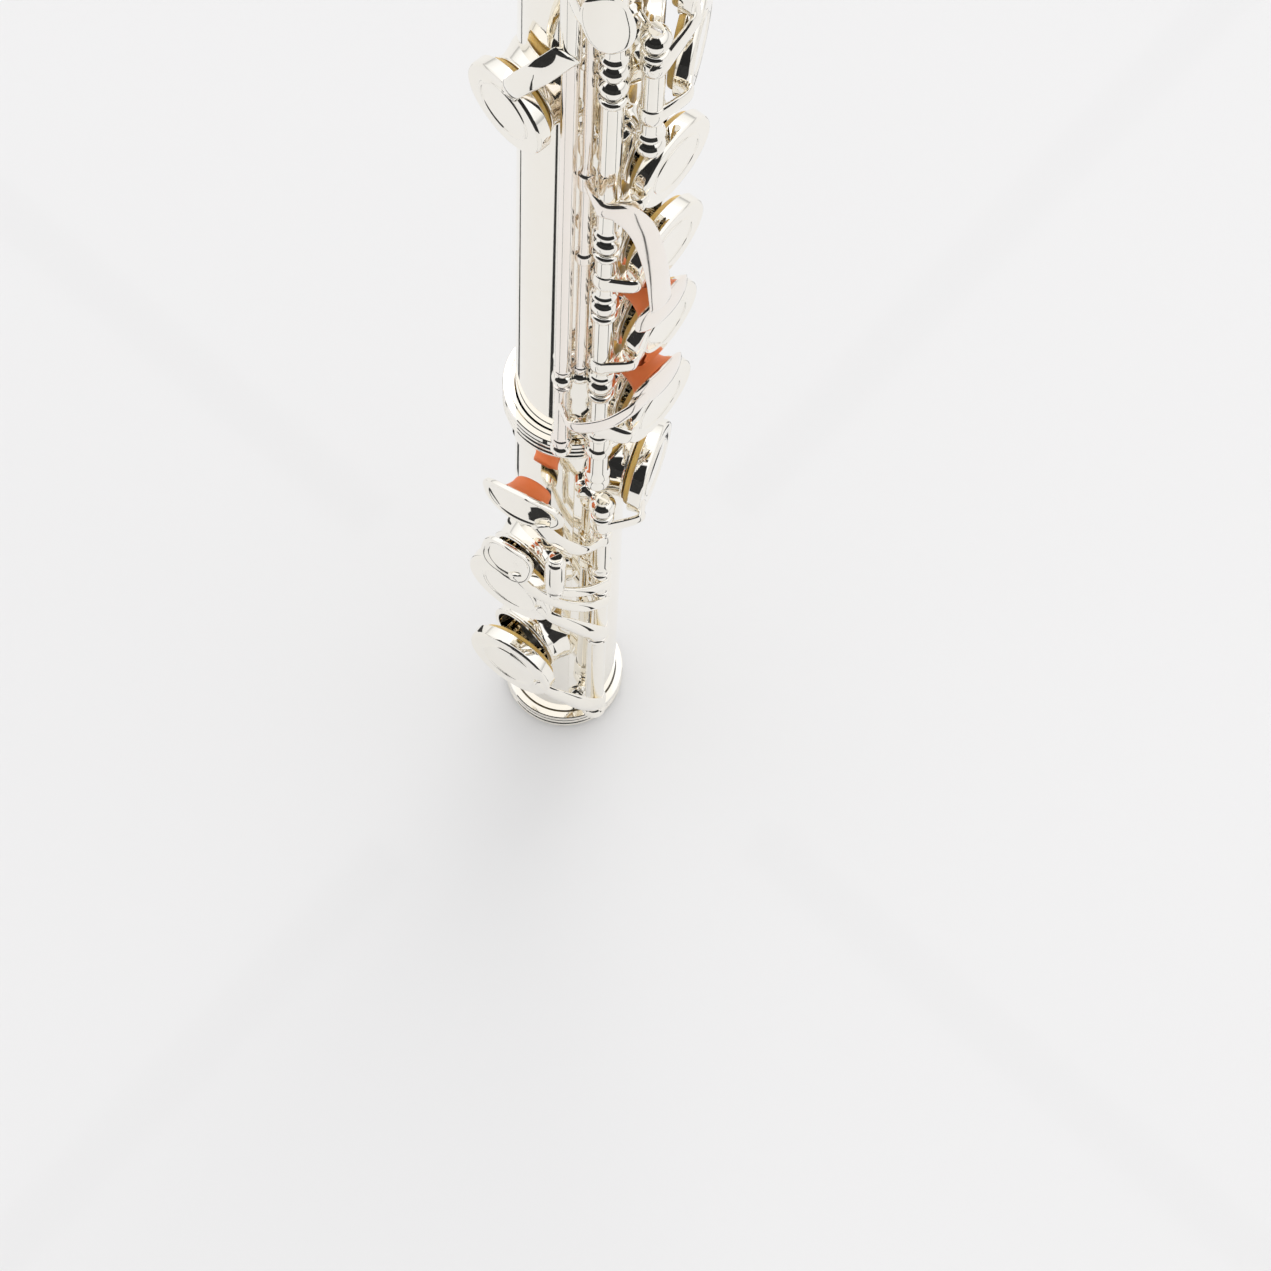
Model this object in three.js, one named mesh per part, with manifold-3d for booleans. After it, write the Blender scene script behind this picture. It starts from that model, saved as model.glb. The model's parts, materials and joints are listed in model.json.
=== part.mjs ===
// Concert flute: closed-hole, offset-G, C-foot, in millimetres.
// The flute's axis is +Z. The foot end is at z = 0 and the head is at the top.
// Angles run round the tube in degrees from the tone-hole line, which faces -Y, towards the
// player's side, which faces -X.

import * as THREE from 'three';
import { mergeVertices } from 'three/addons/utils/BufferGeometryUtils.js';
import Module from 'manifold-3d';

const wasm = await Module();
wasm.setup();

// ---------------------------------------------------------------- driving dimensions

const GAP = 0.3;                 // clearance kept where two pieces meet
const TUBE_R = 9.9;              // outside of the main tube
const BORE_R = 9.5;              // its bore
const SEAT_R = 12.0;             // plane of the tone-hole rims, measured from the axis
const PAD_THICK = 2.5;
const PAD_STANDS_OUT = 1.15;     // how far a pad stands out of its cup
const CUP_WALL = 0.6;
const CUP_TOP = 0.8;

const FOOT_TOP = 130.5;          // top of the foot joint's socket
const SOCKET_FLOOR = 117;
const SOCKET_R = 10.75;
const BODY_TOP = 432;
const BARREL = [424, 470];
const HEAD_START = BODY_TOP + 0.4;
const HEAD_TOP = 655;
const HEAD_TOP_R = 9.0;
const EMBOUCHURE_Z = 601;
const CROWN_TOP = 663;

// Hinge lines: angle, distance from the axis, radius of the hinge tube.
const MAIN_ROD = { angle: 44, radius: 15.4, tube: 1.8 };
const FOOT_ROD = { angle: 38, radius: 14.5, tube: 1.8 };
const G_ROD = { angle: 22, radius: 16.5, tube: 1.8 };
const THUMB_ROD = { angle: 110, radius: 14.6, tube: 1.7 };
const TRILL_ROD = { angle: 68.5, radius: 14.1, tube: 1.35, ball: 1.9 };
const SECOND_TRILL_ROD = { angle: 56.5, radius: 13.5, tube: 1.05, ball: 1.7 };
const STEEL_R = 1.0;
const BALL_R = 2.4;

const OPEN_ANGLE = 9;            // how far the open-standing keys are raised at rest

// Tone holes: angle, height, radius of the cup that covers each.
const HOLES = {
  c_foot: { angle: 103, z: 38, cup: 8.9 },
  c_sharp_foot: { angle: 103, z: 73.5, cup: 8.9 },
  d_sharp_foot: { angle: -10, z: 107.5, cup: 8.7 },
  d: { angle: 0, z: 142, cup: 8.5 },
  e: { angle: 0, z: 171, cup: 8.5 },
  f: { angle: 0, z: 199, cup: 8.5 },
  f_sharp: { angle: 0, z: 226, cup: 8.5 },
  g_lower: { angle: -25, z: 250, cup: 8.4 },
  g_sharp: { angle: 109, z: 244, cup: 8.3 },
  g_upper: { angle: -25, z: 274, cup: 8.4 },
  a: { angle: 0, z: 296, cup: 8.4 },
  b_flat: { angle: 0, z: 317, cup: 8.4 },
  thumb: { angle: 155, z: 337, cup: 8.4 },
  c_sharp: { angle: 0, z: 372, cup: 5.2 },
  d_trill: { angle: 12, z: 395, cup: 5.2 },
  d_sharp_trill: { angle: 12, z: 411, cup: 5.2 },
};
const FOOT_HOLES = ['c_foot', 'c_sharp_foot', 'd_sharp_foot'];

const SILVER = { color: 0xe9e4dc, roughness: 0.12, metalness: 1 };
const STEEL = { color: 0xc9c8c4, roughness: 0.25, metalness: 1 };
const YELLOW_SKIN = { color: 0xd9ad4e, roughness: 0.55, metalness: 0 };
const ORANGE_RUBBER = { color: 0xe0613a, roughness: 0.5, metalness: 0 };
const CORK = { color: 0xb98d5c, roughness: 0.85, metalness: 0 };

// ---------------------------------------------------------------- solids

function toSolid(geometry) {
  const bare = geometry.index ? geometry.toNonIndexed() : geometry.clone();
  bare.deleteAttribute('normal');
  bare.deleteAttribute('uv');
  const merged = mergeVertices(bare, 1e-4);
  const corners = merged.index.array;
  const kept = [];
  for (let i = 0; i < corners.length; i += 3) {
    const [a, b, c] = [corners[i], corners[i + 1], corners[i + 2]];
    if (a !== b && b !== c && c !== a) kept.push(a, b, c);
  }
  return new wasm.Manifold(new wasm.Mesh({
    numProp: 3,
    vertProperties: new Float32Array(merged.attributes.position.array),
    triVerts: new Uint32Array(kept),
  }));
}

function toGeometry(solid) {
  const mesh = solid.getMesh();
  const geometry = new THREE.BufferGeometry();
  const places = new Float32Array(mesh.numVert * 3);
  for (let i = 0; i < mesh.numVert; i += 1) {
    for (let k = 0; k < 3; k += 1) places[3 * i + k] = mesh.vertProperties[i * mesh.numProp + k];
  }
  geometry.setAttribute('position', new THREE.BufferAttribute(places, 3));
  geometry.setIndex(Array.from(mesh.triVerts));
  return geometry;
}

function join(first, ...others) {
  return others.reduce((whole, next) => whole.add(next), first);
}

function cut(first, ...others) {
  return others.reduce((whole, next) => whole.subtract(next), first);
}

// A turned shape about Z from [radius, z] points that start and end on the axis or form a loop.
function turned(outline, segments = 16) {
  const points = outline.map(([radius, z]) => new THREE.Vector2(radius, z));
  if (outline[0][0] > 0) points.push(points[0].clone());
  return new THREE.LatheGeometry(points, segments).rotateX(Math.PI / 2);
}

// A ring about Z between two radii and two heights.
function ring(inner, outer, low, high, segments = 24) {
  return turned([[inner, low], [outer, low], [outer, high], [inner, high]], segments);
}

// A solid cylinder along Z.
function bar(radius, low, high, segments = 8) {
  return turned([[0, low], [radius, low], [radius, high], [0, high]], segments);
}

// ---------------------------------------------------------------- places round the tube

function place(angle, radius, z) {
  const turn = THREE.MathUtils.degToRad(angle);
  return new THREE.Vector3(-radius * Math.sin(turn), -radius * Math.cos(turn), z);
}

// The frame of a tone hole: X runs round the tube away from the player, Y runs up it and
// Z points straight out.
function holeFrame({ angle, z }) {
  const outward = place(angle, 1, 0);
  const up = new THREE.Vector3(0, 0, 1);
  const sideways = new THREE.Vector3().crossVectors(up, outward);
  return new THREE.Matrix4().makeBasis(sideways, up, outward).setPosition(0, 0, z);
}

function onHole(geometry, hole) {
  return toSolid(geometry.applyMatrix4(holeFrame(hole)));
}

function onRod(geometry, rod) {
  const spot = place(rod.angle, rod.radius, 0);
  return toSolid(geometry.translate(spot.x, spot.y, 0));
}

// A flat strap that follows a curve, with its face turned out from the flute's axis.
function strap(points, widths, thickness, steps = 7) {
  const curve = new THREE.CatmullRomCurve3(points);
  const places = [];
  const faces = [];
  for (let i = 0; i <= steps; i += 1) {
    const t = i / steps;
    const middle = curve.getPoint(t);
    const along = curve.getTangent(t);
    const outward = new THREE.Vector3(middle.x, middle.y, 0).normalize();
    const across = new THREE.Vector3().crossVectors(along, outward).normalize();
    const normal = new THREE.Vector3().crossVectors(across, along).normalize();
    const width = THREE.MathUtils.lerp(widths[0], widths[1], t) / 2;
    for (const [side, face] of [[-1, -1], [1, -1], [1, 1], [-1, 1]]) {
      const corner = middle.clone();
      corner.addScaledVector(across, side * width).addScaledVector(normal, face * thickness / 2);
      places.push(corner.x, corner.y, corner.z);
    }
  }
  for (let i = 0; i < steps; i += 1) {
    for (let k = 0; k < 4; k += 1) {
      const [a, b] = [4 * i + k, 4 * i + (k + 1) % 4];
      faces.push(a, b, b + 4, a, b + 4, a + 4);
    }
  }
  const last = 4 * steps;
  faces.push(0, 2, 1, 0, 3, 2, last, last + 1, last + 2, last, last + 2, last + 3);
  const geometry = new THREE.BufferGeometry();
  geometry.setAttribute('position', new THREE.Float32BufferAttribute(places, 3));
  geometry.setIndex(faces);
  const solid = toSolid(geometry);
  if (solid.volume() > 0) return solid;
  geometry.setIndex(faces.map((_, i) => faces[i - (i % 3) + [0, 2, 1][i % 3]]));
  return toSolid(geometry);
}

// A finger plate: a flat oval slab.
function fingerPlate({ angle, z, radius, length, width, thickness = 1.1, lean = 0 }) {
  const outline = new THREE.Shape();
  outline.absellipse(0, 0, width / 2, length / 2, 0, 2 * Math.PI);
  const slab = new THREE.ExtrudeGeometry(outline, {
    depth: thickness, bevelEnabled: false, curveSegments: 7,
  });
  slab.rotateZ(THREE.MathUtils.degToRad(lean)).translate(0, 0, radius - thickness / 2);
  return onHole(slab, { angle, z });
}

// ---------------------------------------------------------------- key parts

function cupSolid(hole) {
  const rim = SEAT_R + 0.25 + PAD_STANDS_OUT;
  const ceiling = SEAT_R + 0.25 + PAD_THICK + GAP;
  const top = ceiling + CUP_TOP;
  const inner = hole.cup - CUP_WALL;
  return onHole(turned([
    [0, ceiling], [inner, ceiling], [inner, rim], [hole.cup, rim],
    [hole.cup, top - 0.4], [hole.cup - 0.4, top], [0, top],
  ], 14), hole);
}

function padSolid(hole) {
  const low = SEAT_R + 0.25;
  const radius = hole.cup - CUP_WALL - GAP;
  return onHole(turned([
    [0, low], [radius, low], [radius, low + PAD_THICK], [0, low + PAD_THICK],
  ], 14), hole);
}

// A bored hinge tube with a bead at each end.
function hingeTube(rod, low, high) {
  const bead = rod.tube + 0.45;
  return onRod(turned([
    [0, low], [bead, low], [bead, low + 1.8], [rod.tube, low + 1.8],
    [rod.tube, high - 1.8], [bead, high - 1.8], [bead, high], [0, high],
  ], 8), rod);
}

function hingeBore(rod, low, high, radius = STEEL_R + GAP) {
  return onRod(bar(radius, low - 1, high + 1), rod);
}

// The arm from a hinge tube to the edge of a cup. bearing is where it lands on the cup's rim:
// 0 is the side nearest the hinge and positive is towards the head.
function cupArm(rod, startZ, hole, bearing, widths = [4.6, 3.2]) {
  const turn = THREE.MathUtils.degToRad(bearing);
  const reach = hole.cup - 1.1;
  const side = Math.sign(rod.angle - hole.angle);
  const top = SEAT_R + 0.25 + PAD_THICK + GAP + CUP_TOP;
  const end = new THREE.Vector3(-side * reach * Math.cos(turn), reach * Math.sin(turn), top - 0.15);
  end.applyMatrix4(holeFrame(hole));
  const edge = new THREE.Vector3(-side * (hole.cup + 1.2) * Math.cos(turn),
    (hole.cup + 1.2) * Math.sin(turn), top + 0.1).applyMatrix4(holeFrame(hole));
  const start = place(rod.angle + side * 1, rod.radius + rod.tube - 0.2, startZ);
  return strap([start, edge, end], widths, 1.0);
}

// The sign of the turn about +Z that raises a cup off its tone hole.
function raisingTurn(rod, hole) {
  const lever = place(hole.angle, SEAT_R, 0).sub(place(rod.angle, rod.radius, 0));
  const motion = new THREE.Vector3(0, 0, 1).cross(lever);
  return Math.sign(motion.dot(place(hole.angle, 1, 0)));
}

function turnedAboutRod(solid, rod, degrees) {
  const spot = place(rod.angle, rod.radius, 0);
  return solid.translate([-spot.x, -spot.y, 0]).rotate([0, 0, degrees])
    .translate([spot.x, spot.y, 0]);
}

// ---------------------------------------------------------------- the assembly

const flute = new THREE.Group();

function add(name, solid, look) {
  const geometry = toGeometry(solid).toNonIndexed();
  geometry.computeVertexNormals();
  const mesh = new THREE.Mesh(geometry, new THREE.MeshStandardMaterial(look));
  mesh.name = name;
  flute.add(mesh);
}

// Adds a key and its pads, built with the cups shut and then raised if the key stands open.
function addKey(name, rod, solid, holeNames, { open = false } = {}) {
  const turn = open ? raisingTurn(rod, HOLES[holeNames[0]]) * OPEN_ANGLE : 0;
  add(name, turnedAboutRod(solid, rod, turn), SILVER);
  for (const holeName of holeNames) {
    const pad = turnedAboutRod(padSolid(HOLES[holeName]), rod, turn);
    add(`${holeName}_pad`, pad, YELLOW_SKIN);
  }
}

// ---- tubes

function chimney(hole) {
  return onHole(turned([
    [0, 5], [hole.cup - 1.7, 5], [hole.cup - 1.7, SEAT_R], [0, SEAT_R],
  ], 12), hole);
}

function toneHole(hole) {
  return onHole(bar(hole.cup - 2.5, 3, SEAT_R + 2, 12), hole);
}

function boredTube(outline, bore, holeNames) {
  const holes = holeNames.map((name) => HOLES[name]);
  const outside = join(toSolid(turned(outline, 24)), ...holes.map(chimney));
  return cut(outside, toSolid(turned(bore, 24)), ...holes.map(toneHole));
}

function footTube() {
  return boredTube(
    [[0, 0], [TUBE_R, 0], [TUBE_R, SOCKET_FLOOR - 1.5], [SOCKET_R, SOCKET_FLOOR],
      [SOCKET_R, FOOT_TOP], [0, FOOT_TOP]],
    [[0, -1], [BORE_R, -1], [BORE_R, SOCKET_FLOOR - 1], [TUBE_R + GAP, SOCKET_FLOOR],
      [TUBE_R + GAP, FOOT_TOP + 1], [0, FOOT_TOP + 1]],
    FOOT_HOLES,
  );
}

function bodyTube() {
  const low = SOCKET_FLOOR + 0.4;
  return boredTube(
    [[0, low], [TUBE_R, low], [TUBE_R, BODY_TOP], [0, BODY_TOP]],
    [[0, low - 1], [BORE_R, low - 1], [BORE_R, BODY_TOP + 1], [0, BODY_TOP + 1]],
    Object.keys(HOLES).filter((name) => !FOOT_HOLES.includes(name)),
  );
}

function barrel() {
  const [low, high] = BARREL;
  const inner = TUBE_R + GAP;
  return toSolid(turned([
    [inner, low], [11.3, low], [11.6, low + 1.5], [11.3, low + 3], [10.8, low + 4],
    [10.8, high - 5], [11.5, high - 4], [11.8, high - 2.2], [11.5, high], [inner, high],
  ], 20));
}

// A reinforcing ring with rounded beads one above another.
function beadedRing(inner, outer, low, beads, pitch) {
  const outline = [[inner, low]];
  for (let i = 0; i < beads; i += 1) {
    const base = low + i * pitch;
    outline.push([outer - 0.5, base], [outer, base + 0.5 * pitch]);
  }
  const top = low + beads * pitch;
  outline.push([outer - 0.5, top], [inner, top]);
  return toSolid(turned(outline, 20));
}

// ---- headjoint

function headTube() {
  const tenon = HEAD_START;
  return toSolid(turned([
    [BORE_R, tenon], [TUBE_R, tenon], [TUBE_R, BARREL[1] + 2], [HEAD_TOP_R, HEAD_TOP],
    [HEAD_TOP_R - 0.5, HEAD_TOP],
  ], 24));
}

function headTubeWithHole() {
  const hole = { angle: 0, z: EMBOUCHURE_Z };
  return cut(headTube(), onHole(embouchureOpening(6, 5.2, 4, 16), hole));
}

function embouchureOpening(halfLength, halfWidth, low, high) {
  const outline = new THREE.Shape();
  outline.absellipse(0, 0, halfWidth, halfLength, 0, 2 * Math.PI);
  return new THREE.ExtrudeGeometry(outline, {
    depth: high - low, bevelEnabled: false, curveSegments: 5,
  }).translate(0, 0, low);
}

// The lip plate with the riser under it, hollow where the player blows.
function lipPlate() {
  const hole = { angle: 0, z: EMBOUCHURE_Z };
  const low = EMBOUCHURE_Z - 18;
  const high = EMBOUCHURE_Z + 18;
  const shell = toSolid(ring(13.4, 14.2, low, high, 24));
  const plate = shell.intersect(onHole(embouchureOpening(17, 12.4, 2, 20), hole));
  const riser = cut(
    onHole(embouchureOpening(8.2, 7.4, 6, 13.6), hole),
    toSolid(bar(TUBE_R + GAP - 0.2, low, high, 24)),
  );
  return cut(join(plate, riser), onHole(embouchureOpening(6, 5.2, 4, 20), hole));
}

function crown() {
  return toSolid(turned([
    [0, HEAD_TOP + 0.4], [8.8, HEAD_TOP + 0.4], [9.3, HEAD_TOP + 1.4], [9.3, HEAD_TOP + 3],
    [8.4, HEAD_TOP + 4.2], [8.6, HEAD_TOP + 5.6], [6.6, CROWN_TOP - 0.8], [3, CROWN_TOP],
    [0, CROWN_TOP],
  ], 20));
}

const CORK_LOW = EMBOUCHURE_Z + 18.5;
const CORK_HIGH = CORK_LOW + 13;

function stopperCork() {
  return toSolid(ring(1.8, 8.3, CORK_LOW, CORK_HIGH, 16));
}

// The screw runs from the silver plate that faces the bore up to the crown.
function stopperScrew() {
  return toSolid(turned([
    [0, CORK_LOW - 1.5], [8.2, CORK_LOW - 1.5], [8.2, CORK_LOW - GAP],
    [1.5, CORK_LOW - GAP], [1.5, HEAD_TOP - 1.2], [0, HEAD_TOP - 1.2],
  ], 16));
}

function stopperNut() {
  return toSolid(ring(1.8, 7.8, CORK_HIGH + GAP, CORK_HIGH + 1.8, 16));
}

// ---- ribs and posts

// A strap soldered along the tube.
function ribStrap(angle, halfWidth, low, high) {
  const inner = TUBE_R + GAP;
  const outer = inner + 0.7;
  const spread = halfWidth / inner;
  const outline = new THREE.Shape();
  outline.absarc(0, 0, outer, -spread, spread, false);
  outline.absarc(0, 0, inner, spread, -spread, true);
  const geometry = new THREE.ExtrudeGeometry(outline, {
    depth: high - low, bevelEnabled: false, curveSegments: 3,
  });
  return toSolid(geometry.translate(0, 0, low).rotateZ(-Math.PI / 2
    - THREE.MathUtils.degToRad(angle)));
}

// A post: a leg from the tube out to a ball on a hinge line.
function post(rod, z, footAngle) {
  const foot = place(footAngle, TUBE_R + GAP + 0.35, z);
  const ball = place(rod.angle, rod.radius, z);
  const size = rod.ball ?? BALL_R;
  const length = foot.distanceTo(ball);
  const outline = [
    [0, 0], [1.8, 0], [1, 1.3], [1, length - 0.9 * size], [size * 0.87, length - size / 2],
    [size, length], [size * 0.8, length + 0.6 * size], [0, length + size],
  ];
  const outward = ball.clone().sub(foot).normalize();
  const turn = new THREE.Quaternion().setFromUnitVectors(new THREE.Vector3(0, 0, 1), outward);
  const geometry = turned(outline, 7).applyQuaternion(turn);
  return toSolid(geometry.translate(foot.x, foot.y, foot.z));
}

function ribWithPosts(angle, halfWidth, low, high, posts, bores) {
  return cut(
    join(ribStrap(angle, halfWidth, low, high), ...posts),
    ...bores,
    toSolid(bar(TUBE_R + GAP, low - 2, high + 2, 24)),
  );
}

const RIB_ANGLE = 61;

function rightHandRib() {
  const [low, high] = [132, 238];
  const lowest = 136;
  const posts = [161, 190, 211].map((z) => post(MAIN_ROD, z, 50.5));
  posts.push(post(MAIN_ROD, lowest, 56));
  posts.push(onRod(turned([
    [0, 121.5], [1.6, 121.6], [2.3, 122.8], [1.9, 124.4], [2.3, 126], [1.8, 127.4],
    [1.8, 140.8], [0, 140.8],
  ], 8), MAIN_ROD));
  posts.push(post(TRILL_ROD, 134.2, 68), post(TRILL_ROD, 161, 68));
  posts.push(post(SECOND_TRILL_ROD, 161, 60));
  return ribWithPosts(RIB_ANGLE, 2.7, low, high, posts, [
    hingeBore(MAIN_ROD, 129, 250),
    onRod(bar(STEEL_R + GAP, 157, 165), TRILL_ROD),
  ]);
}

function leftHandRib() {
  const [low, high] = [257.5, 383];
  const posts = [259.7, 264.6, 332, 380].map((z) => post(MAIN_ROD, z, 56));
  posts.push(post(TRILL_ROD, 297.5, 68));
  return ribWithPosts(RIB_ANGLE, 2.7, low, high, posts, [
    hingeBore(MAIN_ROD, 257, 390),
    onRod(bar(STEEL_R + GAP, 293, 302), TRILL_ROD),
  ]);
}

function upperTrillRib() {
  const posts = [post(SECOND_TRILL_ROD, 401.5, 60), post(TRILL_ROD, 418.8, 68)];
  return ribWithPosts(64, 2.2, 390, 422, posts, []);
}

function sideRib() {
  const posts = [314, 364].map((z) => post(THUMB_ROD, z, 100));
  return ribWithPosts(99, 1.7, 311, 367, posts, [hingeBore(THUMB_ROD, 313, 370)]);
}

function footRib() {
  const posts = [16, 109].map((z) => post(FOOT_ROD, z, 46));
  return ribWithPosts(47.5, 1.7, 12.5, 112.5, posts, [hingeBore(FOOT_ROD, 17, 108)]);
}

function offsetPost(z) {
  return cut(
    join(ribStrap(G_ROD.angle, 1.7, z - 2.2, z + 2.2), post(G_ROD, z, G_ROD.angle)),
    onRod(bar(STEEL_R + GAP, z - 4, z + 4), G_ROD),
    toSolid(bar(TUBE_R + GAP, z - 9, z + 9, 24)),
  );
}

function steel(rod, low, high) {
  return onRod(bar(STEEL_R, low, high), rod);
}

// ---- keys of the right and left hand

// A key with one cup on its own hinge tube.
function cupKey(rod, low, high, hole, armZ, bearing, extras = []) {
  return cut(
    join(hingeTube(rod, low, high), cupSolid(hole), cupArm(rod, armZ, hole, bearing), ...extras),
    hingeBore(rod, low, high),
  );
}

function addStackKeys() {
  const stack = [
    ['d_key', 'd', 141.2, 158.3, 146, 10],
    ['e_key', 'e', 163.7, 187.3, 169, 0],
    ['f_key', 'f', 192.7, 208.3, 199, 0],
    ['f_sharp_key', 'f_sharp', 213.7, 257, 224, 0],
    ['a_key', 'a', 267.3, 306.2, 292, -10],
    ['b_flat_key', 'b_flat', 306.6, 329.3, 315, 0],
  ];
  for (const [name, holeName, low, high, armZ, bearing] of stack) {
    const key = cupKey(MAIN_ROD, low, high, HOLES[holeName], armZ, bearing);
    addKey(name, MAIN_ROD, key, [holeName], { open: true });
  }
}

// The C-sharp key: a small cup and, nearer the foot, the round touch for the first finger.
function cSharpKey() {
  const touchHole = { angle: 0, z: 345, cup: 7.2 };
  const disc = onHole(turned([
    [0, 15.0], [6.8, 15.0], [7.2, 15.5], [6.9, 16.1], [0, 16.1],
  ]), touchHole);
  return cupKey(MAIN_ROD, 334.7, 377.3, HOLES.c_sharp, 371, 0, [
    disc, cupArm(MAIN_ROD, 345, touchHole, 0),
  ]);
}

// The offset G key: two cups on one tube.
function gKey() {
  return cupKey(G_ROD, 241.7, 267.3, HOLES.g_lower, 249, 0, [
    cupSolid(HOLES.g_upper), cupArm(G_ROD, 263, HOLES.g_upper, -35),
  ]);
}

// The G-sharp key turns on the long trill shaft as its axle.
const G_SHARP_SLEEVE_R = 1.72;
const G_SHARP_AXLE_R = 0.9;
const G_SHARP_SPAN = [265.8, 294.8];

function gSharpKey() {
  const [low, high] = G_SHARP_SPAN;
  const hole = HOLES.g_sharp;
  const touch = fingerPlate({ angle: 51, z: 284, radius: 19.6, length: 17, width: 7.5, lean: 12 });
  const touchArm = strap([
    place(68, 15.4, 285), place(62, 18.4, 285), place(54, 19.6, 285),
  ], [5, 4], 1.1);
  const arm = strap([
    place(70, 15.6, 269), place(84, 17.2, 264), place(97, 17.0, 256.5), place(104, 15.9, 250.5),
  ], [5, 3.4], 1.1);
  return cut(
    join(onRod(bar(G_SHARP_SLEEVE_R, low, high), TRILL_ROD), cupSolid(hole), arm, touch, touchArm),
    hingeBore(TRILL_ROD, low, high, G_SHARP_AXLE_R + GAP),
  );
}

// The thumb key: cup under the tube with its finger plate beside it.
function thumbKey() {
  const plate = fingerPlate({ angle: 157, z: 319, radius: 16.6, length: 20, width: 12 });
  const arm = strap([
    place(112, 16.3, 322), place(134, 17.2, 321), place(150, 16.7, 320),
  ], [5, 4.5], 1.1);
  return cupKey(THUMB_ROD, 316.7, 344, HOLES.thumb, 337, 0, [plate, arm]);
}

function thumbBFlatLever() {
  const plate = fingerPlate({ angle: 157, z: 353, radius: 17.2, length: 13, width: 11 });
  const arm = strap([
    place(112, 16.3, 352), place(134, 17.7, 352.5), place(150, 17.3, 353),
  ], [5, 4.5], 1.1);
  return cut(
    join(hingeTube(THUMB_ROD, 344.4, 361.3), plate, arm),
    hingeBore(THUMB_ROD, 344.4, 361.3),
  );
}

// ---- trill keys: solid shafts that turn in their end posts

const TRILL_PIVOT = 0.85;
const D_TRILL_TOUCH = { angle: 14, z: 186, radius: 19.6, length: 9.4, width: 12.4 };
const D_SHARP_TRILL_TOUCH = { angle: 14, z: 158.2, radius: 19.6, length: 9.2, width: 12.4 };

function dTrillKey() {
  const rod = SECOND_TRILL_ROD;
  const shaft = onRod(turned([
    [0, 163.1], [rod.tube, 163.1], [rod.tube, 201.8], [1.35, 202.4], [1.35, 204.6],
    [rod.tube, 205.2], [rod.tube, 231.5], [TRILL_PIVOT, 232.5], [TRILL_PIVOT, 399.4], [0, 399.4],
  ], 8), rod);
  const lever = strap([
    place(56.5, 14.3, 228.4), place(51, 19.0, 228.6), place(41, 20.2, 227.4),
    place(32, 20.6, 220), place(24, 20.5, 205), place(18, 19.8, 189),
  ], [4.4, 4.4], 1.0, 14);
  const touch = fingerPlate(D_TRILL_TOUCH);
  const arm = strap([
    place(56.5, 14.1, 394), place(40, 16.6, 394), place(27, 16.2, 394.6),
  ], [4, 3], 1.0);
  return join(shaft, lever, touch, arm, cupSolid(HOLES.d_trill));
}

function dSharpTrillKey() {
  const rod = TRILL_ROD;
  const neck = STEEL_R;
  const [sleeveLow, sleeveHigh] = G_SHARP_SPAN;
  const shaft = onRod(turned([
    [0, 136.5], [1.7, 136.5], [1.7, 138.3], [rod.tube, 139], [rod.tube, 158.6], [neck, 158.7],
    [neck, 163.3], [rod.tube, 163.4], [rod.tube, sleeveLow - GAP],
    [G_SHARP_AXLE_R, sleeveLow - GAP], [G_SHARP_AXLE_R, sleeveHigh + GAP],
    [neck, sleeveHigh + GAP], [neck, 299.9], [rod.tube, 300], [rod.tube, 416.5], [0, 416.5],
  ], 8), rod);
  const lever = strap([
    place(68.5, 15.1, 151.5), place(61, 18.8, 152), place(46, 20.1, 154.5),
    place(34, 20.4, 157), place(24, 19.9, 158),
  ], [4.4, 4.4], 1.0, 12);
  const touch = fingerPlate(D_SHARP_TRILL_TOUCH);
  const arm = strap([
    place(68.5, 15.1, 410), place(48, 17.2, 410), place(27, 16.2, 410.6),
  ], [4, 3], 1.0);
  return join(shaft, lever, touch, arm, cupSolid(HOLES.d_sharp_trill));
}

// ---- keys of the foot joint

function footArm(startZ, hole) {
  return strap([
    place(39, 16.2, startZ), place(49, 17.1, hole.z - 12), place(60, 17.5, hole.z - 6.5),
    place(71, 17.6, hole.z - 2.5), place(81, 17.1, hole.z),
  ], [4.2, 3], 1.1, 9);
}

function cFootKey() {
  const hole = HOLES.c_foot;
  return cut(
    join(hingeTube(FOOT_ROD, 18.7, 52.4), cupSolid(hole), footArm(20.8, hole)),
    hingeBore(FOOT_ROD, 18.7, 52.4),
  );
}

function cSharpFootKey() {
  const hole = HOLES.c_sharp_foot;
  const lever = strap([
    place(38, 16.4, 70.4), place(52, 17.4, 74), place(68, 17.6, 77.8),
    place(84, 17.8, 82.4), place(95, 17.9, 87),
  ], [3.2, 3.2], 1.3, 10);
  const touch = fingerPlate({
    angle: 100.5, z: 91.5, radius: 18, length: 14, width: 10.5, lean: -8,
  });
  return cut(
    join(hingeTube(FOOT_ROD, 52.8, 74), cupSolid(hole), footArm(55, hole), lever, touch),
    hingeBore(FOOT_ROD, 52.8, 74),
  );
}

const ROLLER = { angle: 71, radius: 18.2, low: 86.2, high: 98.2, size: 1.9 };

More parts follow.
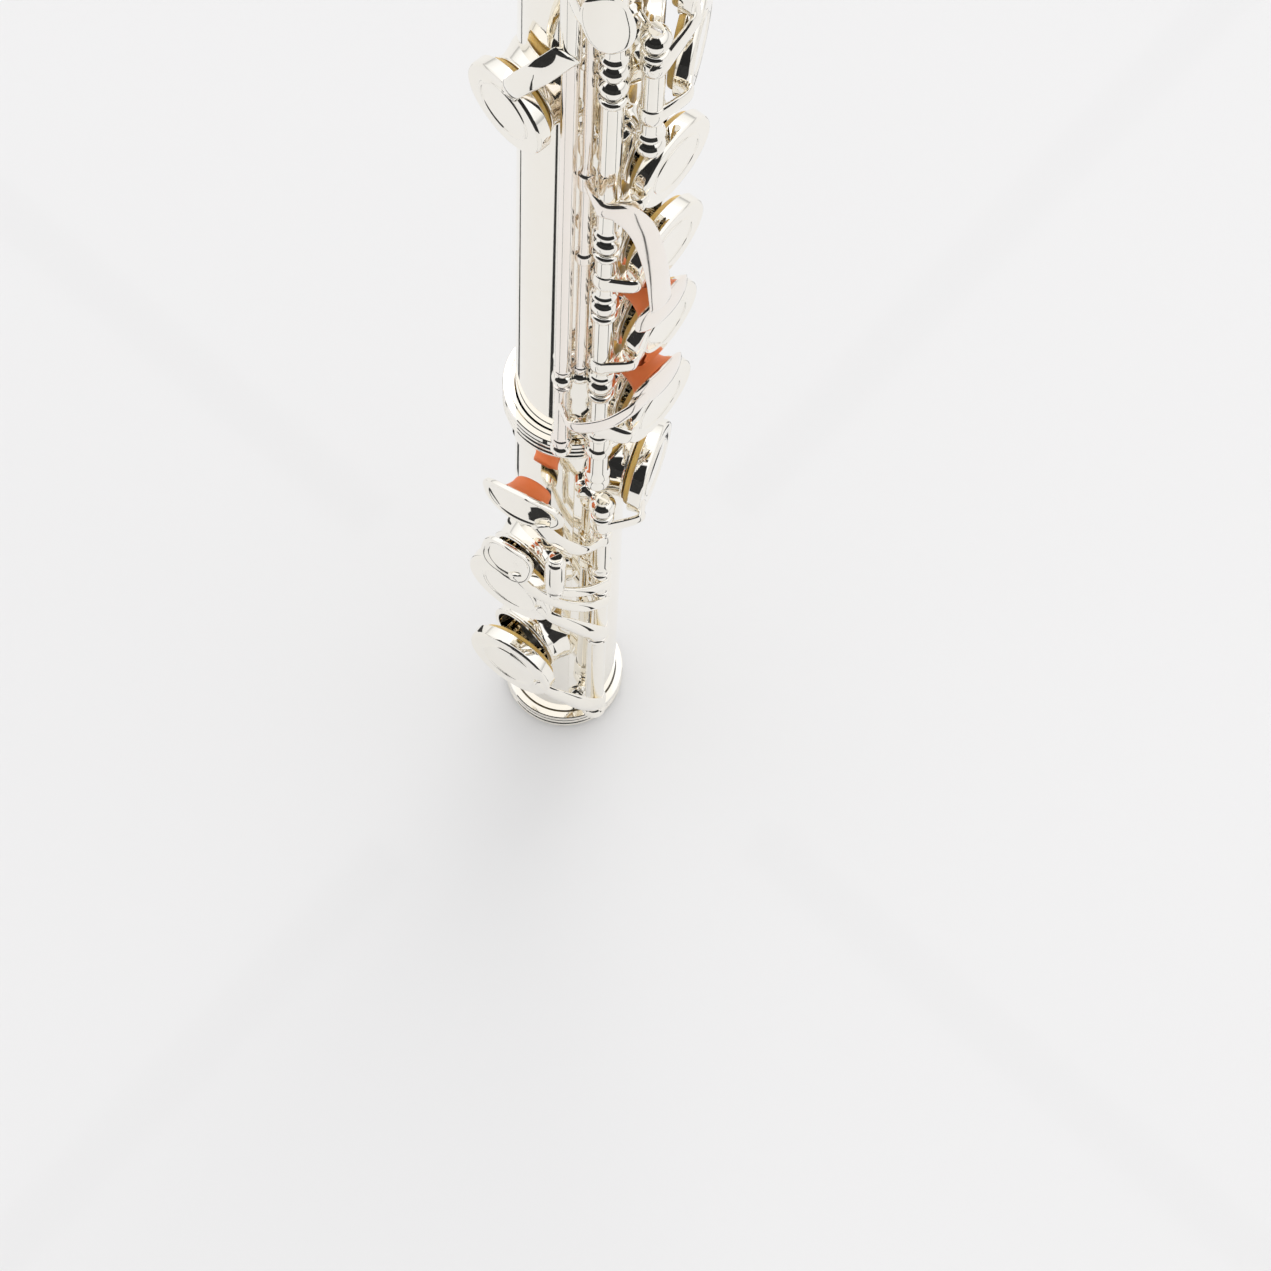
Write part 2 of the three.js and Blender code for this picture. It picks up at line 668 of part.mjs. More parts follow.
// The lever that carries the roller of the C key, fixed to the same steel as that key.
function rollerLever() {
  const pin = { angle: ROLLER.angle, radius: ROLLER.radius };
  const lever = strap([
    place(38, 16.4, 78.4), place(50, 17.2, 80.6), place(61, 17.8, 82.8), place(71, 18.2, 84.8),
  ], [3.2, 3], 1.5, 8);
  const foot = onRod(bar(1.5, 84.3, ROLLER.low - GAP), pin);
  const axle = onRod(bar(0.6, 84.3, ROLLER.high + GAP), pin);
  const cap = onRod(bar(1.4, ROLLER.high + GAP - 0.01, ROLLER.high + GAP + 0.9), pin);
  return cut(
    join(hingeTube(FOOT_ROD, 74.4, 82.2), lever, foot, axle, cap),
    hingeBore(FOOT_ROD, 74.4, 82.2),
  );
}

function roller() {
  const { low, high, size } = ROLLER;
  return onRod(turned([
    [0.9, low], [size - 0.6, low], [size, low + 0.8], [size, high - 0.8], [size - 0.6, high],
    [0.9, high],
  ], 12), ROLLER);
}

const D_SHARP_TOUCH = { angle: 91, z: 111, radius: 17.4, length: 11, width: 17, lean: 14 };

function dSharpFootKey() {
  const lever = strap([
    place(40, 16.1, 97), place(54, 17.8, 99), place(68, 18.2, 104), place(78, 18, 108),
  ], [4, 4], 1.1, 8);
  return cupKey(FOOT_ROD, 82.6, 106.3, HOLES.d_sharp_foot, 102.5, -20, [
    lever, fingerPlate(D_SHARP_TOUCH),
  ]);
}

// The soft stop under a finger plate: an oval block that narrows towards the tube.
function bumper(touch, low, scale) {
  const top = touch.radius - 0.55 - GAP;
  const depth = top - low;
  const block = turned([
    [0, low], [3.1, low], [3.3, low + 0.35 * depth], [4, low + 0.7 * depth], [5.4, top], [0, top],
  ], 14);
  return onHole(block.scale(scale[0], scale[1], 1), touch);
}

// ---------------------------------------------------------------- build

add('headjoint_tube', headTubeWithHole(), SILVER);
add('lip_plate', lipPlate(), SILVER);
add('crown', crown(), SILVER);
add('stopper_screw', stopperScrew(), STEEL);
add('stopper_cork', stopperCork(), CORK);
add('stopper_nut', stopperNut(), SILVER);
add('barrel', barrel(), SILVER);
add('body_tube', bodyTube(), SILVER);
add('foot_tube', footTube(), SILVER);
add('foot_receiver_ring', beadedRing(SOCKET_R + GAP, 12.1, FOOT_TOP - 6, 4, 1.5), SILVER);
add('foot_end_ring', beadedRing(TUBE_R + GAP, 11.4, 0, 3, 1.5), SILVER);

add('right_hand_rib', rightHandRib(), SILVER);
add('left_hand_rib', leftHandRib(), SILVER);
add('upper_trill_rib', upperTrillRib(), SILVER);
add('thumb_rib', sideRib(), SILVER);
add('foot_rib', footRib(), SILVER);
add('g_lower_post', offsetPost(239), SILVER);
add('g_upper_post', offsetPost(270), SILVER);

add('right_hand_steel', steel(MAIN_ROD, 129.5, 261.4), STEEL);
add('left_hand_steel', steel(MAIN_ROD, 262, 382.5), STEEL);
add('g_steel', steel(G_ROD, 236.5, 272.5), STEEL);
add('thumb_steel', steel(THUMB_ROD, 313.5, 366.5), STEEL);
add('foot_steel', steel(FOOT_ROD, 17, 107.5), STEEL);

addStackKeys();
addKey('c_sharp_key', MAIN_ROD, cSharpKey(), ['c_sharp'], { open: true });
addKey('g_key', G_ROD, gKey(), ['g_lower', 'g_upper'], { open: true });
addKey('g_sharp_key', TRILL_ROD, gSharpKey(), ['g_sharp']);
addKey('thumb_key', THUMB_ROD, thumbKey(), ['thumb'], { open: true });
add('thumb_b_flat_lever', thumbBFlatLever(), SILVER);
addKey('d_trill_key', SECOND_TRILL_ROD, dTrillKey(), ['d_trill']);
addKey('d_sharp_trill_key', TRILL_ROD, dSharpTrillKey(), ['d_sharp_trill']);
addKey('d_sharp_foot_key', FOOT_ROD, dSharpFootKey(), ['d_sharp_foot']);
addKey('c_sharp_foot_key', FOOT_ROD, cSharpFootKey(), ['c_sharp_foot'], { open: true });
addKey('c_foot_key', FOOT_ROD, cFootKey(), ['c_foot'], { open: true });

const footTurn = raisingTurn(FOOT_ROD, HOLES.c_foot) * OPEN_ANGLE;
add('c_roller_lever', turnedAboutRod(rollerLever(), FOOT_ROD, footTurn), SILVER);
add('c_roller', turnedAboutRod(roller(), FOOT_ROD, footTurn), SILVER);
add('d_sharp_bumper', bumper(D_SHARP_TOUCH, 12.5, [1.15, 0.85]), ORANGE_RUBBER);
add('d_trill_bumper', bumper(D_TRILL_TOUCH, 12.9, [1, 0.75]), ORANGE_RUBBER);
add('d_sharp_trill_bumper', bumper(D_SHARP_TRILL_TOUCH, 12.9, [1, 0.75]), ORANGE_RUBBER);

export default flute;
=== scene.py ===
import json
import math

import bmesh
import bpy
from mathutils import Matrix, Vector


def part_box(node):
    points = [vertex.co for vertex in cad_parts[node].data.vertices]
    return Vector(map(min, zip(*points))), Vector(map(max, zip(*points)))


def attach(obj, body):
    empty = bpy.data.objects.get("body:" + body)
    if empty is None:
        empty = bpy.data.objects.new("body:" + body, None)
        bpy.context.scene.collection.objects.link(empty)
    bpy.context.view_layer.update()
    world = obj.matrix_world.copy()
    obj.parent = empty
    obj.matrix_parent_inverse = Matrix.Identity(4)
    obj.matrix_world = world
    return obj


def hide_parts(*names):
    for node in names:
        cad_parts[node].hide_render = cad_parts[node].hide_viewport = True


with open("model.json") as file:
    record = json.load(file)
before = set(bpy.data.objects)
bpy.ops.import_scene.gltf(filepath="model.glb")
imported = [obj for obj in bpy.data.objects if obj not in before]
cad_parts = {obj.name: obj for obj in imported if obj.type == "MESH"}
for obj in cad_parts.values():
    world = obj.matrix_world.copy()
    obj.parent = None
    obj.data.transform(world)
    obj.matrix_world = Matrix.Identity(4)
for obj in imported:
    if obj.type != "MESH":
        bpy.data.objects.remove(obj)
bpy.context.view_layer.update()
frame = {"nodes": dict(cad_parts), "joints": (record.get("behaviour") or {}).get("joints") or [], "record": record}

# ------------------------------------------------------------------ driving dimensions, in millimetres
# The flute's axis is +Z with the foot end at 0. Angles run round the tube in degrees from the
# tone-hole line, which faces -Y, towards the player's side, which faces -X.

MM = 0.001
TUBE_R = 9.9                 # outside of the main tube
BORE_R = 9.5                 # its bore
SEAT_R = 12.0                # plane of the tone-hole rims, from the axis
PAD_THICK = 2.5
PAD_STANDS_OUT = 1.15        # how far a pad stands out of its cup
CUP_TOP_R = 15.85            # outer face of a closed cup, from the axis
CUP_WALL = 0.6
FOOT_TOP = 130.5             # top of the foot joint's socket
SOCKET_FLOOR = 117
SOCKET_R = 10.75
BODY_TOP = 432
BARREL_LOW = 424
BARREL_HIGH = 470
HEAD_TOP = 655
HEAD_TOP_R = 9.0
EMBOUCHURE_Z = 601
CROWN_TOP = 663
STEEL_R = 1.0
BALL_R = 2.4                 # post balls
HINGE_R = 1.8                # hinge tubes
OPEN_ANGLE = 9               # how far the open-standing keys are raised at rest
BLOW_HOLE = (5.2, 6.0)       # half width and half height of the blow hole
D_TRILL_TOUCH = (14, 186, 19.6)           # finger plates: angle, height, distance from the axis
D_SHARP_TRILL_TOUCH = (14, 158.2, 19.6)
D_SHARP_TOUCH = (91, 111, 17.4)

STANDS_OPEN = {
    "d_key", "e_key", "f_key", "f_sharp_key", "a_key", "b_flat_key", "c_sharp_key",
    "g_key", "thumb_key", "c_sharp_foot_key", "c_foot_key",
}

BODY_OF = {
    node: body
    for body, nodes in frame["record"]["behaviour"]["bodies"].items()
    for node in nodes
}
JOINTS = {joint["name"]: joint for joint in frame["joints"]}


# ------------------------------------------------------------------ shapes: points in mm and faces

class Shape:
    """Points and faces that can be added to, moved and turned."""

    def __init__(self, points=(), faces=()):
        self.points = [Vector(p) for p in points]
        self.faces = [tuple(f) for f in faces]

    def add(self, *others):
        for other in others:
            first = len(self.points)
            self.points += [p.copy() for p in other.points]
            self.faces += [tuple(first + i for i in face) for face in other.faces]
        return self

    def moved(self, matrix):
        return Shape([matrix @ p for p in self.points], self.faces)


def loft(rings, loop=False):
    """A skin through rings of points. A ring of one point is a pole; a loop joins its ends."""
    points = [p for r in rings for p in r]
    starts = [sum(len(r) for r in rings[:i]) for i in range(len(rings))]
    faces = []
    pairs = [(i, i + 1) for i in range(len(rings) - 1)]
    if loop:
        pairs.append((len(rings) - 1, 0))
    for a, b in pairs:
        count = max(len(rings[a]), len(rings[b]))
        for k in range(count):
            n = (k + 1) % count
            low = [starts[a] + (k if len(rings[a]) > 1 else 0),
                   starts[a] + (n if len(rings[a]) > 1 else 0)]
            high = [starts[b] + (n if len(rings[b]) > 1 else 0),
                    starts[b] + (k if len(rings[b]) > 1 else 0)]
            face = list(dict.fromkeys(low + high))
            if len(face) > 2:
                faces.append(face)
    if not loop:
        for i, r in ((0, rings[0]), (len(rings) - 1, rings[-1])):
            if len(r) > 1:
                faces.append([starts[i] + k for k in range(len(r))])
    return Shape(points, faces)


def rounded(outline, radius, steps=3, loop=False):
    """The outline with each corner eased by a small curve."""
    corners = [Vector(p) for p in outline]
    made = []
    for i, corner in enumerate(corners):
        if not loop and i in (0, len(corners) - 1):
            made.append(corner)
            continue
        before = corners[i - 1] - corner
        after = corners[(i + 1) % len(corners)] - corner
        reach = min(radius, 0.45 * before.length, 0.45 * after.length)
        start = corner + before.normalized() * reach
        end = corner + after.normalized() * reach
        for k in range(steps + 1):
            t = k / steps
            made.append(start.lerp(corner, t).lerp(corner.lerp(end, t), t))
    return made


def turned(outline, segments=48, loop=False):
    """A shape turned about Z from (radius, height) points."""
    rings = []
    for radius, height in outline:
        if radius < 1e-6:
            rings.append([Vector((0, 0, height))])
            continue
        turns = [2 * math.pi * k / segments for k in range(segments)]
        rings.append([Vector((radius * math.cos(t), radius * math.sin(t), height)) for t in turns])
    return loft(rings, loop)


def curve_through(points, steps):
    """Points along a smooth curve through the given ones."""
    ends = [2 * points[0] - points[1], *points, 2 * points[-1] - points[-2]]
    spans = len(points) - 1
    made = []
    for i in range(steps + 1):
        place_along = i / steps * spans
        k = min(int(place_along), spans - 1)
        t = place_along - k
        a, b, c, d = ends[k:k + 4]
        made.append(0.5 * (2 * b + (c - a) * t + (2 * a - 5 * b + 4 * c - d) * t * t
                           + (3 * b - a - 3 * c + d) * t ** 3))
    return made


def between(values, t):
    """A value t of the way along an evenly spaced list."""
    spot = t * (len(values) - 1)
    k = min(int(spot), len(values) - 2)
    return values[k] + (values[k + 1] - values[k]) * (spot - k)


def oval_section(sides, squareness):
    """Points of a rounded square from -1 to 1: 2 is round, and more is squarer."""
    made = []
    for k in range(sides):
        turn = 2 * math.pi * (k + 0.5) / sides
        c, s = math.cos(turn), math.sin(turn)
        power = 2 / squareness
        made.append((math.copysign(abs(c) ** power, c), math.copysign(abs(s) ** power, s)))
    return made


def strap(route, widths, thicknesses, steps=40):
    """A rounded bar along a curve, with its face turned out from the flute's axis."""
    spots = curve_through(route, steps)
    section = oval_section(24, 1.7)
    rings = []
    for i, spot in enumerate(spots):
        along = (spots[min(i + 1, steps)] - spots[max(i - 1, 0)]).normalized()
        outward = Vector((spot.x, spot.y, 0)).normalized()
        across = along.cross(outward).normalized()
        normal = across.cross(along).normalized()
        half_width = between(widths, i / steps) / 2
        half_depth = between(thicknesses, i / steps) / 2
        ring = [(across * half_width * x, normal * half_depth * y) for x, y in section]
        if i in (0, steps):
            reach = along * min(half_depth, half_width) * (-1 if i == 0 else 1)
            dome = [math.radians(a) for a in (30, 60, 82)]
            rounds = [[spot + reach * math.sin(a) + (u + v) * math.cos(a) for u, v in ring]
                      for a in dome]
            body = [spot + u + v for u, v in ring]
            rings += [*reversed(rounds), body] if i == 0 else [body, *rounds]
        else:
            rings.append([spot + u + v for u, v in ring])
    return loft(rings)


# ------------------------------------------------------------------ places round the tube

def at(angle, radius, z):
    """A point at an angle round the tube, a distance from the axis and a height."""
    turn = math.radians(angle)
    return Vector((-radius * math.sin(turn), -radius * math.cos(turn), z))


def hole_matrix(angle, z):
    """X runs round the tube away from the player, Y runs up it and Z points straight out."""
    outward = at(angle, 1, 0)
    up = Vector((0, 0, 1))
    sideways = up.cross(outward)
    matrix = Matrix((sideways, up, outward)).transposed().to_4x4()
    matrix.translation = Vector((0, 0, z))
    return matrix


class Rod:
    """A hinge line: its place from the frame's joint, and the size of its tube and balls."""

    def __init__(self, joint, tube=HINGE_R, ball=BALL_R):
        self.spot = Vector(JOINTS[joint]["pos_m"]) / MM
        self.spot.z = 0
        self.press = JOINTS[joint]["axis"][2]
        self.angle = math.degrees(math.atan2(-self.spot.x, -self.spot.y))
        self.radius = self.spot.length
        self.tube = tube
        self.ball = ball

    def on(self, shape):
        return shape.moved(Matrix.Translation(self.spot))

    def swung(self, shape, degrees):
        turn = Matrix.Rotation(math.radians(degrees), 4, "Z")
        there = Matrix.Translation(self.spot)
        return shape.moved(there @ turn @ there.inverted())

    def raised(self, shape):
        return self.swung(shape, -self.press * OPEN_ANGLE)

    def shut(self, shape):
        return self.swung(shape, self.press * OPEN_ANGLE)


MAIN = Rod("d_press")
FOOT = Rod("c_foot_press")
OFFSET_G = Rod("g_press")
THUMB = Rod("thumb_press", tube=1.7)
TRILL = Rod("d_sharp_trill_press", tube=1.35, ball=1.9)
SECOND_TRILL = Rod("d_trill_press", tube=1.05, ball=1.7)
ROLLER = Rod("c_roller_spin")


def corners(node):
    """The corner points of a CAD node, in millimetres."""
    return [v.co / MM for v in frame["nodes"][node].data.vertices]


class Hole:
    """A tone hole and its cup, found from the pad that covers it, with the key shut."""

    def __init__(self, pad, rod, stands_open):
        points = corners(pad)
        middle = sum(points, Vector()) / len(points)
        if stands_open:
            middle = rod.shut(Shape([middle])).points[0]
        self.angle = math.degrees(math.atan2(-middle.x, -middle.y))
        self.z = middle.z
        self.pad = max(p.z for p in points) - middle.z
        self.cup = self.pad + 0.9

    def on(self, shape):
        return shape.moved(hole_matrix(self.angle, self.z))


KEY_PADS = {
    "d_key": (MAIN, ["d_pad"]),
    "e_key": (MAIN, ["e_pad"]),
    "f_key": (MAIN, ["f_pad"]),
    "f_sharp_key": (MAIN, ["f_sharp_pad"]),
    "a_key": (MAIN, ["a_pad"]),
    "b_flat_key": (MAIN, ["b_flat_pad"]),
    "c_sharp_key": (MAIN, ["c_sharp_pad"]),
    "g_key": (OFFSET_G, ["g_lower_pad", "g_upper_pad"]),
    "g_sharp_key": (TRILL, ["g_sharp_pad"]),
    "thumb_key": (THUMB, ["thumb_pad"]),
    "d_trill_key": (SECOND_TRILL, ["d_trill_pad"]),
    "d_sharp_trill_key": (TRILL, ["d_sharp_trill_pad"]),
    "d_sharp_foot_key": (FOOT, ["d_sharp_foot_pad"]),
    "c_sharp_foot_key": (FOOT, ["c_sharp_foot_pad"]),
    "c_foot_key": (FOOT, ["c_foot_pad"]),
}
HOLES = {
    pad: Hole(pad, rod, key in STANDS_OPEN)
    for key, (rod, pads) in KEY_PADS.items()
    for pad in pads
}


def span(node, rod):
    """The lowest and highest height of the part of a node that lies round a hinge line."""
    near = [p.z for p in corners(node)
            if math.hypot(p.x - rod.spot.x, p.y - rod.spot.y) < rod.tube + 0.6]
    return min(near), max(near)


# ------------------------------------------------------------------ materials

def new_material(name):
    made = bpy.data.materials.new(name)
    made.use_nodes = True
    nodes = made.node_tree.nodes
    return made, nodes, made.node_tree.links, nodes["Principled BSDF"]


def noise(nodes, links, scale, detail=3.0):
    where = nodes.new("ShaderNodeTexCoord")
    made = nodes.new("ShaderNodeTexNoise")
    made.inputs["Scale"].default_value = scale
    made.inputs["Detail"].default_value = detail
    links.new(where.outputs["Object"], made.inputs["Vector"])
    return made.outputs["Fac"]


def ramp(nodes, links, source, stops):
    made = nodes.new("ShaderNodeValToRGB")
    marks = made.color_ramp.elements
    while len(marks) < len(stops):
        marks.new(0.5)
    for mark, (where, colour) in zip(marks, stops):
        mark.position = where
        mark.color = (*colour, 1.0)
    links.new(source, made.inputs["Fac"])
    return made.outputs["Color"]


def bump(nodes, links, shader, height, strength, distance):
    made = nodes.new("ShaderNodeBump")
    made.inputs["Strength"].default_value = strength
    made.inputs["Distance"].default_value = distance
    links.new(height, made.inputs["Height"])
    links.new(made.outputs["Normal"], shader.inputs["Normal"])


def grey(level):
    return (level, level, level)


def metal(name, tints, roughness):
    """A polished metal: its tint and gloss drift a little, over a very fine polishing grain."""
    made, nodes, links, shader = new_material(name)
    shader.inputs["Metallic"].default_value = 1.0
    drift = noise(nodes, links, 90.0)
    links.new(ramp(nodes, links, drift, [(0.3, tints[0]), (0.7, tints[1])]),
              shader.inputs["Base Color"])
    gloss = noise(nodes, links, 420.0, 5.0)
    links.new(ramp(nodes, links, gloss, [(0.25, grey(roughness[0])), (0.8, grey(roughness[1]))]),
              shader.inputs["Roughness"])
    bump(nodes, links, shader, noise(nodes, links, 2600.0, 2.0), 0.12, 0.000004)
    return made


def skin(name, pale, deep, roughness):
    """Thin animal skin stretched over felt, with fine wrinkles and a faint sheen."""
    made, nodes, links, shader = new_material(name)
    shader.inputs["Coat Weight"].default_value = 0.25
    shader.inputs["Coat Roughness"].default_value = 0.3
    shader.inputs["Subsurface Weight"].default_value = 0.15
    shader.inputs["Subsurface Radius"].default_value = (0.001, 0.0006, 0.0003)
    mottled = noise(nodes, links, 260.0, 6.0)
    links.new(ramp(nodes, links, mottled, [(0.3, deep), (0.7, pale)]), shader.inputs["Base Color"])
    gloss = noise(nodes, links, 900.0, 4.0)
    links.new(ramp(nodes, links, gloss, [(0.3, grey(roughness[0])), (0.7, grey(roughness[1]))]),
              shader.inputs["Roughness"])
    bump(nodes, links, shader, noise(nodes, links, 1400.0, 5.0), 0.4, 0.00006)
    return made


def rubber(name, pale, deep, roughness):
    """Soft moulded rubber with a dull sheen and a very slight unevenness."""
    made, nodes, links, shader = new_material(name)
    shader.inputs["Subsurface Weight"].default_value = 0.2
    shader.inputs["Subsurface Radius"].default_value = (0.0015, 0.0007, 0.0003)
    cloudy = noise(nodes, links, 120.0, 4.0)
    links.new(ramp(nodes, links, cloudy, [(0.3, deep), (0.7, pale)]), shader.inputs["Base Color"])
    gloss = noise(nodes, links, 500.0, 3.0)
    links.new(ramp(nodes, links, gloss, [(0.3, grey(roughness[0])), (0.7, grey(roughness[1]))]),
              shader.inputs["Roughness"])
    bump(nodes, links, shader, noise(nodes, links, 700.0, 4.0), 0.2, 0.00004)
    return made


def cork_material():
    """Cork, with darker flecks that are slightly sunk."""
    made, nodes, links, shader = new_material("cork")
    shader.inputs["Roughness"].default_value = 0.85
    flecks = noise(nodes, links, 1500.0, 6.0)
    links.new(ramp(nodes, links, flecks, [(0.35, (0.30, 0.17, 0.08)), (0.5, (0.62, 0.43, 0.25)),
                                          (0.75, (0.74, 0.56, 0.36))]),
              shader.inputs["Base Color"])
    bump(nodes, links, shader, flecks, 0.5, 0.0002)
    return made


SILVER = metal("polished_silver", [(0.955, 0.922, 0.845), (0.968, 0.938, 0.872)], [0.03, 0.06])
ROD_SILVER = metal("drawn_silver", [(0.945, 0.885, 0.815), (0.96, 0.905, 0.845)], [0.08, 0.13])
STEEL = metal("ground_steel", [(0.62, 0.61, 0.60), (0.70, 0.69, 0.68)], [0.2, 0.32])
YELLOW_SKIN = skin("yellow_skin", (0.80, 0.55, 0.16), (0.66, 0.40, 0.09), [0.4, 0.6])
ORANGE_RUBBER = rubber("orange_rubber", (0.98, 0.27, 0.085), (0.90, 0.22, 0.062), [0.42, 0.58])
CORK = cork_material()


# ------------------------------------------------------------------ pieces

SMOOTH_ANGLE = math.radians(34)


def mesh_piece(name, shape, body, look, nodes=()):
    """A Blender object from a shape, riding on a body and standing for CAD nodes."""
    mesh = bpy.data.meshes.new(name)
    mesh.from_pydata([p * MM for p in shape.points], [], shape.faces)
    work = bmesh.new()
    work.from_mesh(mesh)
    bmesh.ops.remove_doubles(work, verts=work.verts, dist=1e-8)
    bmesh.ops.recalc_face_normals(work, faces=work.faces)
    work.to_mesh(mesh)
    work.free()
    mesh.shade_smooth()
    mesh.set_sharp_from_angle(angle=SMOOTH_ANGLE)
    made = bpy.data.objects.new(name, mesh)
    bpy.context.scene.collection.objects.link(made)
    mesh.materials.append(look)
    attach(made, body)
    if nodes:
        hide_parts(*nodes)
    return made


def fine(node, shape, look=None):
    """The finished form of one CAD node."""
    return mesh_piece(f"{node}_fine", shape, BODY_OF[node], look or SILVER, [node])


# ---- cups, pads, hinge tubes and arms

def cup(hole):
    """A closed cup: a flat face with a raised line round it, a deep wall and a hollow underside."""
    rim = SEAT_R + 0.25 + PAD_STANDS_OUT
    ceiling = CUP_TOP_R - 0.8
    line = 0.63 * hole.cup
    outside = rounded([
        (0, CUP_TOP_R - 0.04), (line - 0.45, CUP_TOP_R - 0.08), (line - 0.2, CUP_TOP_R + 0.14),
        (line + 0.12, CUP_TOP_R + 0.14), (line + 0.34, CUP_TOP_R - 0.12),
        (hole.cup - 1.1, CUP_TOP_R - 0.1), (hole.cup - 0.35, CUP_TOP_R - 0.02),
        (hole.cup, CUP_TOP_R - 0.45), (hole.cup, rim), (hole.cup - CUP_WALL, rim),
        (hole.cup - CUP_WALL, ceiling), (0, ceiling),
    ], 0.16)
    return hole.on(turned(outside, 96))


def washer(hole):
    """The washer and the screw that hold a pad in its cup."""
    low = SEAT_R + 0.25
    outline = rounded([(0, low - 0.35), (1.1, low - 0.35), (1.3, low - 0.15), (2.6, low - 0.1),
                       (2.6, low + 0.3), (0, low + 0.3)], 0.12)
    return hole.on(turned(outline, 32))


def pad(hole):
    """A felt pad in its skin: a flat face with the mark of the tone-hole rim, and a soft edge."""
    low = SEAT_R + 0.25
    high = low + PAD_THICK
    seat = hole.cup - 2.1
    outline = rounded([
        (0, low + 0.06), (1.4, low + 0.16), (seat - 0.9, low + 0.02), (seat, low + 0.14),
        (seat + 0.7, low), (hole.pad - 0.25, low + 0.12), (hole.pad, low + 0.7),
        (hole.pad, high - 0.2), (hole.pad - 0.3, high), (0, high),
    ], 0.5)
    return hole.on(turned(outline, 64))


def hinge_tube(rod, low, high):
    """A bored hinge tube with a rounded collar at each end."""
    wall = rod.tube
    outer = wall + 0.5
    outline = rounded([
        (STEEL_R + 0.12, low), (outer - 0.35, low), (outer, low + 0.55), (outer, low + 1.2),
        (wall + 0.12, low + 1.85), (wall, low + 2.3), (wall, high - 2.3),
        (wall + 0.12, high - 1.85), (outer, high - 1.2), (outer, high - 0.55),
        (outer - 0.35, high), (STEEL_R + 0.12, high),
    ], 0.35, loop=True)
    return rod.on(turned(outline, 40, loop=True))


def collar(rod, z, height):
    """A soldered ring round a hinge tube, where an arm leaves it."""
    outer = rod.tube + 0.55
    outline = rounded([
        (STEEL_R + 0.15, z - height / 2), (outer - 0.4, z - height / 2),
        (outer, z), (outer - 0.4, z + height / 2), (STEEL_R + 0.15, z + height / 2),
    ], 0.6, loop=True)
    return rod.on(turned(outline, 40, loop=True))


def cup_arm(rod, start_z, hole, bearing=0.0, widths=(4.4, 3.6, 2.6)):
    """The arm from a hinge tube to a cup, landing on its face in a rounded point."""
    turn = math.radians(bearing)
    side = 1 if rod.angle > hole.angle else -1
    frame_of_hole = hole_matrix(hole.angle, hole.z)
    near = hole.cup + 0.9
    far = hole.cup * 0.72
    low = CUP_TOP_R - 0.15

    def over(reach, height):
        spot = Vector((-side * reach * math.cos(turn), reach * math.sin(turn), height))
        return frame_of_hole @ spot

    start = at(rod.angle + side, rod.radius + rod.tube - 0.3, start_z)
    route = [start, over(near, low + 0.1), over((near + far) / 2, low + 0.2), over(far, low)]
    return strap(route, widths, (1.5, 1.3, 0.7))


def screw_head(rod, z, radius, top):
    """Two half rounds with the driver slot between them, on the end of a rod."""
    made = Shape()
    slot_half = 0.26
    up = 1 if top else -1
    for side in (-1, 1):
        bottom_ring = []
        top_ring = []
        for k in range(17):
            turn = math.radians(-90 + 180 * k / 16)
            x = max(radius * math.cos(turn), slot_half) * side
            y = radius * math.sin(turn)
            bottom_ring.append(Vector((x, y, z)))
            top_ring.append(Vector((x * 0.93, y * 0.93, z + 0.55 * up)))
        made.add(loft([bottom_ring, top_ring]))
    made.add(turned([(0, z - 0.4), (radius, z - 0.4), (radius, z + 0.05 * up), (0, z + 0.05 * up)], 32))
    return rod.on(made)


def ball(rod, z, head=None):
    """A post's ball on a hinge line, flat at both ends, with a screw head in one if asked."""
    size = rod.ball
    flat = 0.84 * size
    half_angle = math.acos(flat / size)
    outline = [(STEEL_R * 0.95, z - flat)]
    for k in range(13):
        turn = half_angle + (math.pi - 2 * half_angle) * k / 12
        outline.append((size * math.sin(turn), z - size * math.cos(turn)))
    outline.append((STEEL_R * 0.95, z + flat))
    made = rod.on(turned(outline, 48, loop=True))
    if head:
        made.add(screw_head(rod, z + flat * head, 1.25, head > 0))
    return made


def post(rod, z, foot_angle, head=None):
    """A turned leg from a flange on the tube to the ball on the hinge line."""
    foot = at(foot_angle, TUBE_R + 0.35, z)
    top = rod.spot + Vector((0, 0, z))
    length = (top - foot).length
    outline = rounded([
        (0, 0), (2.3, 0), (2.2, 0.7), (1.25, 1.5), (0.95, 0.55 * length),
        (1.05, length - 0.95 * rod.ball), (1.5, length - 0.7 * rod.ball), (0, length - 0.6 * rod.ball),
    ], 0.6, 4)
    turn = Vector((0, 0, 1)).rotation_difference((top - foot).normalized()).to_matrix().to_4x4()
    leg = turned(outline, 32).moved(Matrix.Translation(foot) @ turn)
    return leg.add(ball(rod, z, head=head))


def oval(half_width, half_length, squareness=2.0, lean=0.0):
    """An oval outline, squarer with a higher squareness, leaning by some degrees."""
    turn = math.radians(lean)
    made = []
    for x, y in oval_section(72, squareness):
        x, y = x * half_width, y * half_length
        made.append((x * math.cos(turn) - y * math.sin(turn), x * math.sin(turn) + y * math.cos(turn)))
    return made


